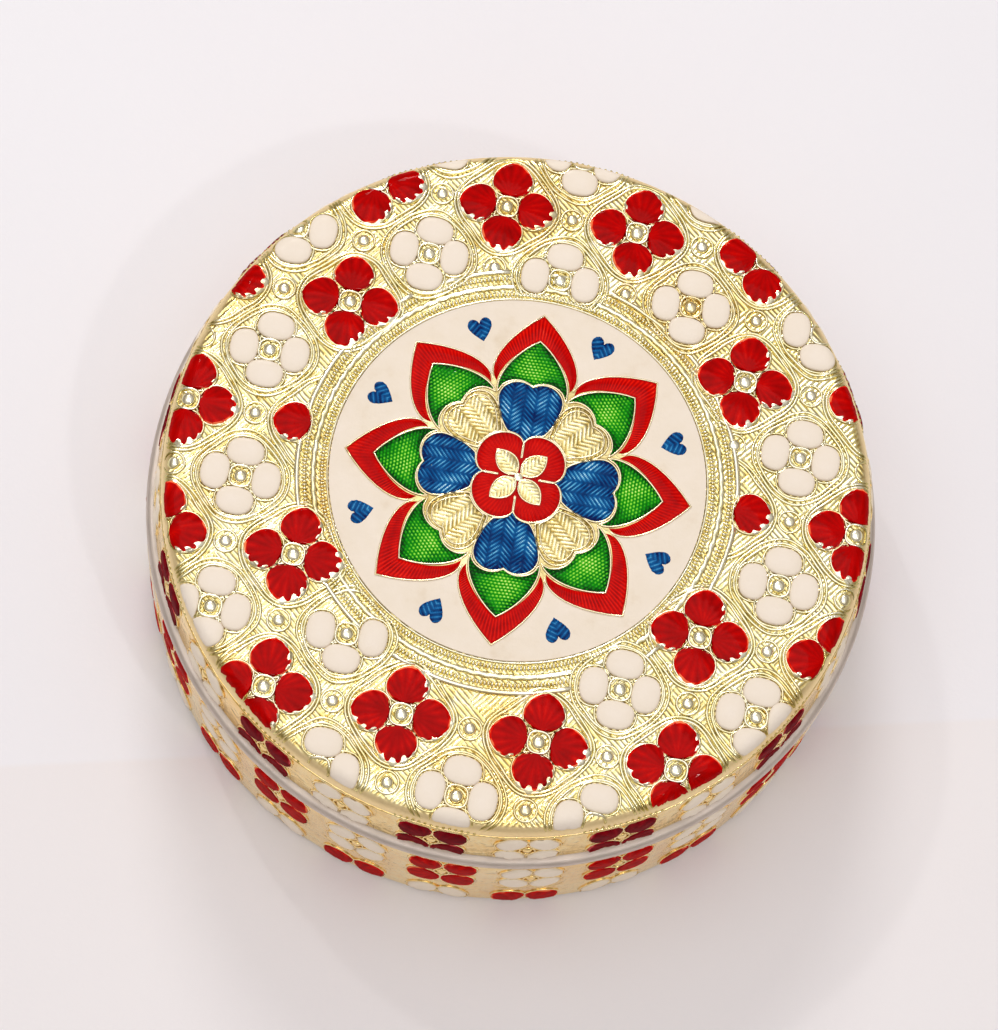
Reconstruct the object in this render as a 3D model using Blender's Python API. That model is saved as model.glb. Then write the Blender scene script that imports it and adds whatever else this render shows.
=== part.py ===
"""Round slip-lid box of pressed metal, dressed in embossed gilt sheet with enamelled cells.

Metres, +Z up. The box stands on the XY plane, centred on the Z axis.
The lid's pattern is drawn on one square grid that runs along X and Y.
"""
import bpy
import bmesh
from math import ceil, cos, pi, radians, sin
from mathutils import Vector

# Driving dimensions of the box
LID_RADIUS = 0.0365          # lid pan, outside, at its top
LID_FLARE = 0.0010           # how much wider the lid pan is at its lower edge
LID_HEIGHT = 0.0086          # lower edge of the lid to the crest of its relief
BODY_HEIGHT = 0.0191         # floor to the ledge that the lid rests on
LEDGE = 0.0012               # how far the base pan stands out past the lid pan's lower edge
BODY_FLARE = 0.0004          # how much wider the base pan is at its foot
BEAD_REACH = 0.00065         # how far the rolled bead stands out of the base pan
BEAD_HEIGHT = 0.0015
NECK_DROP = 0.0015           # the neck's edge stops this far under the lid's ceiling
METAL = 0.0006               # pressed aluminium
LID_CORNER = 0.0006          # rounding of the lid pan's top edge, outside
BODY_CORNER = 0.0010         # rounding of the base pan's foot, outside

# Embossed gilt sheet
SHEET = 0.0003               # sheet over the top of the lid
BAND = 0.0004                # strips round the lid and the base
TOP_RELIEF = 0.0006          # crest of the petals over the field of the top sheet
BEAD_RELIEF = 0.00048        # crest of the beads over the same field
ROPE_RELIEF = 0.00054        # crest of the rope rings over the same field
BAND_RELIEF = 0.0003         # crest of the petals over a strip
TURN_DOWN = 0.0012           # how far the top sheet is folded down over the lid's edge

# Clearances
GLUE_GAP = 0.0001            # adhesive between a sheet and its pan
CELL_GAP = 0.0001            # round an enamel fill
SEAT_GAP = 0.0003            # under a piece that rests on another
SLIP_GAP = 0.00035           # between the neck and the lid

# Pattern, drawn on the grid of the lid's flowers
PITCH = 0.0143               # one grid step, from a red flower to the next
GRID_Y = 0.00156             # the flower grid's middle sits this far off the lid's centre
MEDALLION_TURN = radians(2.0)
MEDALLION_Y = 0.0003         # so does the medallion's, but for much less
ENAMEL = 0.0003
WALL_RISE = 0.00045          # cell walls over the field
POCKET = 0.00005             # floor of a cell, pressed under the field

# Pattern sizes, as shares of one grid step
PETAL_START = 0.095          # inner end of a petal, from its flower's centre
PETAL_END = 0.345            # outer end of a petal
PETAL_WIDTH = 0.265
PETAL_SWELL = 0.12           # how much fuller a petal is towards its outer end
PETAL_CROWN = 0.60           # flat crown of a petal, as a share of its outline
BEAD_SIZE = 0.075
GROUND_REACH = 1.385         # ivory ground, from the medallion's centre
RING_WIDTH = 0.080           # one rope ring
RING_SPACE = 0.014
FLOWER_REACH = 1.48          # a flower nearer than this to the medallion's centre isn't pressed
PETAL_REACH = 1.56           # nor is a single petal nearer than this
BEAD_REACH_IN = 1.60         # nor is a bead
LOTUS_TIP = 1.280
RED_TIP = 1.245
GREEN_TIP = 1.045
HEART_POINT = 0.318          # blue heart, the end that looks to the centre
HEART_NOTCH = 0.665          # blue heart, between its lobes
SMALL_HEART_REACH = 1.18
SMALL_HEART_SIZE = 0.19
BAND_STEP = 0.687            # lid strip, from one flower to the next
BODY_BAND_STEP = 0.679       # base strip, from one flower to the next
BAND_PETAL_WIDTH = 0.230
BAND_BEAD_SIZE = 0.0525

# Rows of the strips
BODY_ROW_Z = 0.0127          # centre of the base strip's upper row
BODY_ROW_STEP = 0.0125       # down to the base strip's lower row
BODY_ROW_STRETCH = 1.27      # the base strip's flowers are taller than they are wide
LID_BAND_TURN = radians(-2.4)      # where the first red flower of the lid's strip lies
BODY_BAND_TURN = radians(-89.7)    # where the first red flower of the base strip lies

# Lining of velvet over card
LINING_CARD = 0.0010
LINING_RIM_DROP = 0.0010     # the wall lining stops this far under the neck's edge
PAD_THICKNESS = 0.0020
LID_PAD_THICKNESS = 0.0011

TURN_STEPS = 48              # facets round a turned piece
PAD_STEPS = 36               # facets round a piece of the lining
PETALS = 8                   # petals of the lotus
HEARTS = 4                   # blue hearts inside the lotus
ROSETTE_STEPS = 16


def clear_scene():
    for old in list(bpy.data.objects):
        bpy.data.objects.remove(old, do_unlink=True)


# Heights and widths that more than one piece uses
BODY_RADIUS = LID_RADIUS + LID_FLARE + LEDGE
LID_EDGE_Z = BODY_HEIGHT + SEAT_GAP
CREST_Z = LID_EDGE_Z + LID_HEIGHT
FIELD_Z = CREST_Z - TOP_RELIEF
LID_TOP_Z = FIELD_Z - SHEET - GLUE_GAP
LID_CEILING_Z = LID_TOP_Z - METAL
NECK_TOP_Z = LID_CEILING_Z - NECK_DROP
BEAD_LOW_Z = BODY_HEIGHT - BEAD_HEIGHT


def lid_radius(z):
    """Outside of the lid pan's skirt."""
    return LID_RADIUS + LID_FLARE * (LID_TOP_Z - z) / (LID_TOP_Z - LID_EDGE_Z)


def body_radius(z):
    """Outside of the base pan's wall."""
    return BODY_RADIUS + BODY_FLARE * (BEAD_LOW_Z - z) / BEAD_LOW_Z


def neck_radius(z):
    """Outside of the neck, which runs beside the lid's skirt."""
    return lid_radius(z) - METAL - SLIP_GAP


# Materials

def material(name, colour, roughness, metallic):
    made = bpy.data.materials.new(name)
    made.use_nodes = True
    shader = made.node_tree.nodes["Principled BSDF"]
    shader.inputs["Base Color"].default_value = (*colour, 1.0)
    shader.inputs["Roughness"].default_value = roughness
    shader.inputs["Metallic"].default_value = metallic
    made.diffuse_color = (*colour, 1.0)
    return made


def aluminium(name):
    return material(name, (0.55, 0.52, 0.52), 0.38, 1.0)


def gilt_sheet(name):
    return material(name, (0.83, 0.72, 0.40), 0.22, 1.0)


def red_enamel(name):
    return material(name, (0.52, 0.005, 0.008), 0.12, 0.0)


def green_enamel(name):
    return material(name, (0.02, 0.36, 0.03), 0.14, 0.0)


def blue_enamel(name):
    return material(name, (0.006, 0.06, 0.30), 0.14, 0.0)


def ivory_enamel(name):
    return material(name, (0.86, 0.76, 0.66), 0.25, 0.0)


def red_velvet(name):
    return material(name, (0.18, 0.010, 0.022), 0.95, 0.0)


# Outlines in the plane

def bezier(start, lead, trail, end, steps):
    """Points of one cubic stretch, without its last point."""
    points = []
    for step in range(steps):
        t = step / steps
        s = 1 - t
        weights = (s ** 3, 3 * s * s * t, 3 * s * t * t, t ** 3)
        x = sum(w * p[0] for w, p in zip(weights, (start, lead, trail, end)))
        y = sum(w * p[1] for w, p in zip(weights, (start, lead, trail, end)))
        points.append((x, y))
    return points


def arc(cx, cz, radius, start, end, steps):
    """Points of a round stretch in a turned profile, both ends included."""
    points = []
    for step in range(steps + 1):
        angle = radians(start + (end - start) * step / steps)
        points.append((cx + radius * cos(angle), cz + radius * sin(angle)))
    return points


def circle(radius, count):
    return [(radius * cos(2 * pi * k / count), radius * sin(2 * pi * k / count)) for k in range(count)]


def mirrored(half):
    """Closes a half outline that starts and ends on the X axis, or beside it."""
    other = [(x, -y) for x, y in reversed(half) if abs(y) > 1e-9]
    return half + other


def turned(points, angle, reach=0.0):
    """Moves an outline out along X, then turns it about the centre."""
    moved = []
    for x, y in points:
        out = x + reach
        moved.append((out * cos(angle) - y * sin(angle), out * sin(angle) + y * cos(angle)))
    return moved


def signed_area(points):
    total = 0.0
    for (x0, y0), (x1, y1) in zip(points, points[1:] + points[:1]):
        total += x0 * y1 - x1 * y0
    return total / 2


def offset(points, distance):
    """Moves a closed outline outwards by a distance, or inwards by a negative one."""
    side = 1.0 if signed_area(points) > 0 else -1.0
    moved = []
    for before, here, after in zip(points[-1:] + points[:-1], points, points[1:] + points[:1]):
        first = (Vector(here) - Vector(before)).normalized()
        second = (Vector(after) - Vector(here)).normalized()
        normal = Vector((first.y + second.y, -first.x - second.x)) * side
        spread = max(normal.length / 2, 0.45)
        step = normal.normalized() * (distance / spread)
        moved.append((here[0] + step.x, here[1] + step.y))
    return moved


# The medallion's outlines, as shares of one grid step, pointing along +X

def lotus_half():
    """One side of a lotus petal, from its neck to its tip."""
    return bezier((0.725, 0.295), (0.835, 0.348), (1.040, 0.285), (LOTUS_TIP, 0.0), 4)


def red_cell():
    """The band round a lotus petal's outer side."""
    inner_tip = RED_TIP - 0.155
    outside = bezier((0.758, 0.285), (0.842, 0.325), (1.025, 0.262), (RED_TIP, 0.0), 4)
    inside = bezier((0.758, 0.260), (0.850, 0.262), (0.985, 0.165), (inner_tip, 0.0), 4)
    far_side = outside + [(RED_TIP, 0.0)] + [(x, -y) for x, y in reversed(outside)]
    near_side = [(x, -y) for x, y in inside] + [(inner_tip, 0.0)] + [(x, y) for x, y in reversed(inside)]
    return far_side + near_side


def green_cell():
    """The heart of a lotus petal, with a hollow at its inner end."""
    side = bezier((0.668, 0.248), (0.770, 0.250), (0.930, 0.165), (GREEN_TIP, 0.0), 4)
    lobe = bezier((0.728, 0.0), (0.775, 0.060), (0.765, 0.175), (0.668, 0.248), 3)
    half = lobe + side + [(GREEN_TIP, 0.0)]
    return mirrored(half)


def blue_heart():
    """A heart whose point looks to the centre and whose lobes look out."""
    side = bezier((HEART_POINT, 0.0), (0.330, 0.115), (0.440, 0.210), (0.570, 0.232), 3)
    lobe = bezier((0.570, 0.232), (0.685, 0.250), (0.735, 0.100), (HEART_NOTCH, 0.0), 3)
    return mirrored(side + lobe + [(HEART_NOTCH, 0.0)])


def rosette():
    """Four lobes on the diagonals, with a notch on each axis."""
    points = []
    for k in range(ROSETTE_STEPS):
        angle = 2 * pi * k / ROSETTE_STEPS
        reach = 0.262 + 0.100 * abs(sin(2 * angle)) ** 0.6
        points.append((reach * cos(angle), reach * sin(angle)))
    return points


def star():
    """Four rounded rays on the diagonals."""
    points = []
    for k in range(ROSETTE_STEPS):
        angle = 2 * pi * k / ROSETTE_STEPS
        reach = 0.085 + 0.135 * sin(2 * angle) ** 2
        points.append((reach * cos(angle), reach * sin(angle)))
    return points


def small_heart():
    """A plain little heart about its own centre, with its point to the left."""
    half = SMALL_HEART_SIZE / 2
    side = [(-1.0, 0.0), (-0.1, 0.8), (0.6, 1.0), (1.0, 0.55), (0.6, 0.0)]
    return mirrored([(x * half, y * half) for x, y in side])


def lotus_outline():
    points = []
    for k in range(PETALS):
        half = lotus_half()
        petal = [(x, -y) for x, y in half] + [(LOTUS_TIP, 0.0)] + [(x, y) for x, y in reversed(half[1:])]
        points += turned(petal, 2 * pi * k / PETALS)
    return points


# Solids

def finish_mesh(name, bm, finish):
    """Turns a bmesh into an object that is smooth apart from its real edges."""
    bmesh.ops.recalc_face_normals(bm, faces=bm.faces[:])
    mesh = bpy.data.meshes.new(name)
    bm.to_mesh(mesh)
    bm.free()
    mesh.shade_smooth()
    mesh.set_sharp_from_angle(angle=radians(35))
    if finish:
        mesh.materials.append(finish)
    made = bpy.data.objects.new(name, mesh)
    bpy.context.collection.objects.link(made)
    return made


def revolved(name, profile, finish, steps=TURN_STEPS, turn=0.0):
    """Turns a profile of (radius, height) points about the Z axis.

    A profile that ends at the axis at both ends gets a flat cap there, and any other is closed on itself.
    """
    bm = bmesh.new()
    capped = profile[0][0] == 0.0 and profile[-1][0] == 0.0
    points = profile[1:-1] if capped else profile
    verts = [bm.verts.new((r * cos(turn), r * sin(turn), z)) for r, z in points]
    edges = [bm.edges.new(pair) for pair in zip(verts, verts[1:])]
    if not capped:
        edges.append(bm.edges.new((verts[-1], verts[0])))
    bmesh.ops.spin(bm, geom=verts + edges, cent=(0, 0, 0), axis=(0, 0, 1), dvec=(0, 0, 0),
                   angle=2 * pi, steps=steps, use_merge=True)
    if capped:
        rims = [edge for edge in bm.edges if len(edge.link_faces) == 1]
        bmesh.ops.holes_fill(bm, edges=rims, sides=0)
    return finish_mesh(name, bm, finish)


def add_prism(bm, outline, low, high, holes=()):
    """Adds an upright block over an outline, with any holes, to a bmesh."""
    loops = [outline, *holes]
    rings = []
    for points in loops:
        bottom = [bm.verts.new((x, y, low)) for x, y in points]
        top = [bm.verts.new((x, y, high)) for x, y in points]
        rings.append((bottom, top))
        for k in range(len(points)):
            n = (k + 1) % len(points)
            bm.faces.new((bottom[k], bottom[n], top[n], top[k]))
    for side in (0, 1):
        edges = []
        for pair in rings:
            ring = pair[side]
            edges += [bm.edges.get((ring[k], ring[(k + 1) % len(ring)])) for k in range(len(ring))]
        if len(rings) == 1:
            bm.faces.new(rings[0][side])
        else:
            bmesh.ops.triangle_fill(bm, edges=edges, use_beauty=True, normal=(0, 0, 1))


def prism(name, outline, low, high, finish, holes=()):
    bm = bmesh.new()
    add_prism(bm, outline, low, high, holes)
    return finish_mesh(name, bm, finish)


def petal_outline(length, width, count):
    """A rounded petal, a little fuller towards its outer end."""
    points = []
    for k in range(count):
        angle = 2 * pi * (k + 0.5) / count
        points.append((length / 2 * cos(angle), width / 2 * sin(angle) * (1 + PETAL_SWELL * cos(angle))))
    return points


def add_crown(bm, outline, sink, height, crown, place):
    """Adds a low closed mound: a sunk foot, and a flat crown that is a share of the outline."""
    foot = [bm.verts.new(place(x, y, -sink)) for x, y in outline]
    top = [bm.verts.new(place(x * crown, y * crown, height)) for x, y in outline]
    bm.faces.new(list(reversed(foot)))
    for k in range(len(outline)):
        n = (k + 1) % len(outline)
        bm.faces.new((foot[k], foot[n], top[n], top[k]))
    bm.faces.new(top)


def add_peak(bm, outline, sink, height, place):
    """Adds a low closed mound with one peak, full size where it leaves the sheet."""
    spread = (height + sink) / height
    foot = [bm.verts.new(place(x * spread, y * spread, -sink)) for x, y in outline]
    peak = bm.verts.new(place(0.0, 0.0, height))
    bm.faces.new(list(reversed(foot)))
    for k in range(len(outline)):
        bm.faces.new((foot[k], foot[(k + 1) % len(outline)], peak))


def tool(name, bm):
    """An object that only shapes others."""
    made = finish_mesh(name, bm, None)
    made.hide_render = True
    made.display_type = "WIRE"
    return made


def combine(target, other, operation):
    """Joins or cuts with Blender's exact solver."""
    change = target.modifiers.new(other.name, "BOOLEAN")
    change.operation = operation
    change.solver = "EXACT"
    change.object = other


# Base

def make_base_pan():
    """Drawn pan with a rolled bead, a ledge for the lid and a neck, all one piece."""
    bead_radius = BEAD_HEIGHT / 2
    bead_z = BODY_HEIGHT - bead_radius
    wall_top = body_radius(BEAD_LOW_Z)
    foot = body_radius(BODY_CORNER)
    inner_corner = BODY_CORNER
    inner_wall = body_radius(METAL) - METAL
    outside = [(0.0, 0.0)]
    outside += arc(foot - BODY_CORNER, BODY_CORNER, BODY_CORNER, -90, 0, 3)
    outside += [(wall_top, BEAD_LOW_Z)]
    for x, z in arc(0.0, 0.0, 1.0, -60, 60, 3):
        outside.append((wall_top + BEAD_REACH * (x - 0.5) / 0.5, bead_z + bead_radius * z / sin(radians(60))))
    outside += [(neck_radius(BODY_HEIGHT), BODY_HEIGHT), (neck_radius(NECK_TOP_Z), NECK_TOP_Z)]
    inside = [(neck_radius(NECK_TOP_Z) - METAL, NECK_TOP_Z)]
    inside += [(neck_radius(BODY_HEIGHT) - METAL, BODY_HEIGHT - METAL)]
    inside += [(wall_top - METAL, BODY_HEIGHT - METAL)]
    inside += arc(inner_wall - inner_corner, METAL + inner_corner, inner_corner, 0, -90, 2)
    inside += [(0.0, METAL)]
    profile = outside + inside
    return revolved("base_pan", without_repeats(profile), aluminium("pressed aluminium, base"))


def without_repeats(points):
    kept = [points[0]]
    for point in points[1:]:
        if (Vector(point) - Vector(kept[-1])).length > 1e-7:
            kept.append(point)
    return kept


def band_ring(name, low, high, radius_at, finish, flowers, turn):
    """A strip bent round a pan's wall, with one facet edge at each flower and one between."""
    inner = [(radius_at(high) + GLUE_GAP, high), (radius_at(low) + GLUE_GAP, low)]
    outer = [(r + BAND, z) for r, z in reversed(inner)]
    return revolved(name, outer + inner, finish, steps=2 * flowers, turn=turn)


def add_wall_flower(bm, azimuth, z, stretch, radius_at, low, high, petals):
    """Adds a flower with diagonal petals and a centre bead to a strip, cut off at the strip's edges."""
    length = (PETAL_END - PETAL_START) * PITCH
    width = BAND_PETAL_WIDTH * PITCH
    middle = (PETAL_END + PETAL_START) / 2 * PITCH
    margin = BAND
    sink = BAND / 4

    def placer(turn, reach):
        def place(x, y, height):
            along = (x + reach) * cos(turn) - y * sin(turn)
            up = ((x + reach) * sin(turn) + y * cos(turn)) * stretch
            level = min(max(z + up, low + margin), high - margin)
            radius = radius_at(level) + GLUE_GAP + BAND + height
            angle = azimuth + along / radius_at(z)
            return (radius * cos(angle), radius * sin(angle), level)
        return place

    for turn in petals:
        add_peak(bm, petal_outline(length, width, 5), sink, BAND_RELIEF, placer(radians(turn), middle))
    bead = BAND_BEAD_SIZE * PITCH
    if low + margin < z - bead:
        add_peak(bm, circle(bead, 4), sink, BAND_RELIEF, placer(0.0, 0.0))


def even_count(circumference, step):
    """How many flowers fit round a strip, red and cream in turn."""
    return 2 * max(1, round(circumference / step / 2))


def make_base_band():
    low = BODY_CORNER / 2
    high = BEAD_LOW_Z - GLUE_GAP
    count = even_count(2 * pi * (BODY_RADIUS + BAND), BODY_BAND_STEP * PITCH)
    finish = gilt_sheet("embossed gilt strip, base")
    band = band_ring("base_side_band", low, high, body_radius, finish, count, BODY_BAND_TURN)
    lower_row = BODY_ROW_Z - BODY_ROW_STEP
    stretch = BODY_ROW_STRETCH
    for row, petals in ((BODY_ROW_Z, (45, 135, 225, 315)), (lower_row, (45, 135))):
        bm = bmesh.new()
        for k in range(count):
            azimuth = BODY_BAND_TURN + 2 * pi * k / count
            add_wall_flower(bm, azimuth, row, stretch, body_radius, low, high, petals)
        combine(band, tool("base_band_relief", bm), "UNION")
    return band


def make_base_lining():
    """Card collar and floor pad, both covered in velvet."""
    outer = neck_radius(NECK_TOP_Z) - METAL - SEAT_GAP
    low = METAL + SEAT_GAP
    high = NECK_TOP_Z - LINING_RIM_DROP
    round_off = LINING_CARD * 0.35
    profile = [(outer - LINING_CARD, low), (outer, low), (outer, high - round_off), (outer - round_off, high),
               (outer - LINING_CARD + round_off, high), (outer - LINING_CARD, high - round_off)]
    revolved("base_lining_wall", profile, red_velvet("velvet, wall"), steps=PAD_STEPS)
    rim = outer - LINING_CARD - SEAT_GAP
    make_pad("base_lining_pad", rim, low, PAD_THICKNESS, 1.0, red_velvet("velvet, floor"))


def make_pad(name, rim, seat, thickness, side, finish):
    """A round pad with a crown and drawn-in sides, its flat back at seat, facing up or down by side."""
    fall = thickness * 0.35
    profile = [(0.0, seat), (rim - fall, seat), (rim, seat + side * thickness * 0.4)]
    profile += [(rim - fall, seat + side * (thickness - fall)), (rim * 0.75, seat + side * thickness * 0.95)]
    profile += [(0.0, seat + side * thickness)]
    if side < 0:
        profile.reverse()
    return revolved(name, profile, finish, steps=PAD_STEPS)


# Lid

def make_lid_pan(joint):
    """Drawn pan with a short skirt that slips over the neck."""
    inner_corner = LID_CORNER / 2
    outside = [(lid_radius(LID_EDGE_Z), LID_EDGE_Z)]
    outside += arc(LID_RADIUS - LID_CORNER, LID_TOP_Z - LID_CORNER, LID_CORNER, 0, 90, 3)
    outside += [(0.0, LID_TOP_Z)]
    inside = [(0.0, LID_CEILING_Z)]
    inside += arc(LID_RADIUS - METAL - inner_corner, LID_CEILING_Z - inner_corner, inner_corner, 90, 0, 2)
    inside += [(lid_radius(LID_EDGE_Z) - METAL, LID_EDGE_Z)]
    pan = revolved("lid_pan", inside + outside, aluminium("pressed aluminium, lid"))
    pan.parent = joint
    return pan


def lid_band_span():
    low = LID_EDGE_Z + GLUE_GAP
    high = LID_TOP_Z + GLUE_GAP
    return low, high


def over_sheet_radius(z):
    """Outside of the top sheet's folded edge, on which the lid's strip is wrapped."""
    return lid_radius(z) + GLUE_GAP + SHEET


def make_lid_band(joint):
    low, high = lid_band_span()
    count = even_count(2 * pi * (LID_RADIUS + LID_FLARE + BAND), BAND_STEP * PITCH)
    finish = gilt_sheet("embossed gilt strip, lid")
    band = band_ring("lid_side_band", low, high, over_sheet_radius, finish, count, LID_BAND_TURN)
    bm = bmesh.new()
    for k in range(count):
        azimuth = LID_BAND_TURN + 2 * pi * k / count
        add_wall_flower(bm, azimuth, (low + high) / 2, 1.0, over_sheet_radius, low, high, (45, 135, 225, 315))
    combine(band, tool("lid_band_relief", bm), "UNION")
    band.parent = joint
    return band


def grid_points(reach):
    """Nodes of the flower grid: place in steps, and whether a red or a cream flower or a bead lies there."""
    span = ceil(reach / PITCH) * 2
    for i in range(-span, span + 1):
        for j in range(-span, span + 1):
            kind = {(1, 0): "red", (0, 1): "cream"}.get((i % 2, j % 2), "bead")
            yield i / 2, j / 2, kind


def add_top_flowers(bm):
    """Adds every petal and bead between the medallion and the lid's edge. Some cut into its rings."""
    sheet_reach = LID_RADIUS + GLUE_GAP + SHEET - LID_CORNER
    length = (PETAL_END - PETAL_START) * PITCH
    width = PETAL_WIDTH * PITCH
    middle = (PETAL_END + PETAL_START) / 2 * PITCH
    sink = SHEET / 2
    petal = petal_outline(length, width, 6)

    def from_medallion(x, y):
        return Vector((x, y + GRID_Y - MEDALLION_Y)).length / PITCH

    def on_sheet(x, y, size):
        return Vector((x, y + GRID_Y)).length + size < sheet_reach

    def placer(cx, cy, turn):
        def place(x, y, height):
            across = cx + x * cos(turn) - y * sin(turn)
            along = cy + x * sin(turn) + y * cos(turn)
            return (across, along + GRID_Y, FIELD_Z + height)
        return place

    for i, j, kind in grid_points(sheet_reach + PITCH):
        x = i * PITCH
        y = j * PITCH
        if from_medallion(x, y) > BEAD_REACH_IN and on_sheet(x, y, BEAD_SIZE * PITCH):
            add_peak(bm, circle(BEAD_SIZE * PITCH, 6), sink, BEAD_RELIEF, placer(x, y, 0.0))
        if kind == "bead" or from_medallion(x, y) < FLOWER_REACH:
            continue
        for k in range(4):
            turn = k * pi / 2
            px = x + middle * cos(turn)
            py = y + middle * sin(turn)
            if from_medallion(px, py) > PETAL_REACH and on_sheet(px, py, length / 2):
                add_crown(bm, petal, sink, TOP_RELIEF, PETAL_CROWN, placer(px, py, turn))


def add_ridge(bm, inner, width, height, steps):
    """Adds a round ridge about the medallion's centre."""
    profile = [(inner, FIELD_Z - SHEET / 2), (inner + width, FIELD_Z - SHEET / 2)]
    profile += [(inner + width * 0.8, FIELD_Z + height), (inner + width * 0.2, FIELD_Z + height)]
    rings = []
    for k in range(steps):
        angle = 2 * pi * k / steps
        rings.append([bm.verts.new((r * cos(angle), r * sin(angle) + MEDALLION_Y, z)) for r, z in profile])
    for k in range(steps):
        here = rings[k]
        after = rings[(k + 1) % steps]
        for n in range(len(profile)):
            m = (n + 1) % len(profile)
            bm.faces.new((here[n], here[m], after[m], after[n]))


def placed(points):
    """From shares of a grid step to the lid's plane, where the medallion was stamped a little turned."""
    return [(x * PITCH, y * PITCH + MEDALLION_Y) for x, y in turned(points, MEDALLION_TURN)]


def make_top_sheet(joint):
    """Embossed disc: folded edge, flowers, rope rings and the lotus with its open cells."""
    outer = LID_RADIUS + GLUE_GAP + SHEET
    corner = LID_CORNER + GLUE_GAP + SHEET
    fold_z = LID_TOP_Z - TURN_DOWN
    outside = [(over_sheet_radius(fold_z), fold_z)]
    outside += arc(outer - corner, FIELD_Z - corner, corner, 0, 90, 3)
    outside += [(0.0, FIELD_Z)]
    inside = [(0.0, FIELD_Z - SHEET)]
    inside += arc(outer - corner, FIELD_Z - corner, corner - SHEET, 90, 0, 2)
    inside += [(over_sheet_radius(fold_z) - SHEET, fold_z)]
    sheet = revolved("lid_top_sheet", inside + outside, gilt_sheet("embossed gilt sheet, lid"))

    relief = bmesh.new()
    add_prism(relief, placed(lotus_outline()), FIELD_Z - SHEET / 2, FIELD_Z + WALL_RISE)
    for k in range(2):
        inner = (GROUND_REACH + RING_SPACE / 2 + k * (RING_WIDTH + RING_SPACE)) * PITCH
        add_ridge(relief, inner, RING_WIDTH * PITCH, ROPE_RELIEF, TURN_STEPS)
    combine(sheet, tool("medallion_relief", relief), "UNION")

    flowers = bmesh.new()
    add_top_flowers(flowers)
    combine(sheet, tool("flower_relief", flowers), "UNION")

    cells = bmesh.new()
    floor_z = FIELD_Z - POCKET
    roof_z = CREST_Z + TOP_RELIEF
    for k in range(PETALS):
        angle = 2 * pi * k / PETALS
        add_prism(cells, placed(turned(red_cell(), angle)), floor_z, roof_z)
        add_prism(cells, placed(turned(green_cell(), angle)), floor_z, roof_z)
    for k in range(HEARTS):
        add_prism(cells, placed(turned(blue_heart(), 2 * pi * k / HEARTS)), floor_z, roof_z)
    add_prism(cells, placed(rosette()), floor_z, roof_z, holes=[placed(star())])
    combine(sheet, tool("top_sheet_cells", cells), "DIFFERENCE")
    sheet.parent = joint
    return sheet


def make_enamel(joint):
    """One fill for each cell of the medallion, and the ivory ground round the lotus."""
    low = FIELD_Z + GLUE_GAP
    high = low + ENAMEL
    gap = CELL_GAP / PITCH
    made = []
    for k in range(PETALS):
        angle = 2 * pi * k / PETALS
        number = str(k + 1)
        red = placed(turned(offset(red_cell(), -gap), angle))
        finish = red_enamel("red enamel " + number)
        made.append(prism("enamel_red_petal_" + number, red, low, high, finish))
        green = placed(turned(offset(green_cell(), -gap), angle))
        finish = green_enamel("green enamel " + number)
        made.append(prism("enamel_green_petal_" + number, green, low, high, finish))
        between = angle + pi / PETALS
        blue = placed(turned(small_heart(), between, SMALL_HEART_REACH))
        finish = blue_enamel("blue enamel " + number)
        made.append(prism("enamel_small_heart_" + number, blue, low, high, finish))
    for k in range(HEARTS):
        number = str(k + 1)
        blue = placed(turned(offset(blue_heart(), -gap), 2 * pi * k / HEARTS))
        finish = blue_enamel("blue enamel, heart " + number)
        made.append(prism("enamel_blue_heart_" + number, blue, low, high, finish))
    ring = placed(offset(rosette(), -gap))
    hole = placed(offset(star(), gap))
    made.append(prism("enamel_red_rosette", ring, low, high, red_enamel("red enamel, rosette"), holes=[hole]))
    made.append(make_ground(low, high, gap))
    for fill in made:
        fill.parent = joint


def make_ground(low, high, gap):
    """Ivory disc with the lotus and the small hearts left out."""
    rim = placed(circle(GROUND_REACH - gap, TURN_STEPS))
    holes = [placed(offset(lotus_outline(), gap))]
    for k in range(PETALS):
        hole = offset(small_heart(), gap)
        holes.append(placed(turned(hole, 2 * pi * (k + 0.5) / PETALS, SMALL_HEART_REACH)))
    return prism("enamel_ivory_ground", rim, low, high, ivory_enamel("ivory enamel"), holes=holes)


def make_lid_lining(joint):
    rim = neck_radius(NECK_TOP_Z) - METAL - 2 * SEAT_GAP
    seat = LID_CEILING_Z - SEAT_GAP
    pad = make_pad("lid_lining_pad", rim, seat, LID_PAD_THICKNESS, -1.0, red_velvet("velvet, lid"))
    pad.parent = joint


def make_box():
    clear_scene()
    make_base_pan()
    make_base_band()
    make_base_lining()
    joint = bpy.data.objects.new("lid_lift_axis", None)
    bpy.context.collection.objects.link(joint)
    make_lid_pan(joint)
    make_top_sheet(joint)
    make_lid_band(joint)
    make_enamel(joint)
    make_lid_lining(joint)


make_box()
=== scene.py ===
"""Round enamel keepsake box: embossed gilt sheet over pressed aluminium, with hand-filled enamel.

Metres, +Z up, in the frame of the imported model.
"""
import bpy
import bmesh
from math import atan2, cos, hypot, pi, radians, sin, sqrt
from mathutils import Matrix, Vector, noise


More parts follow.
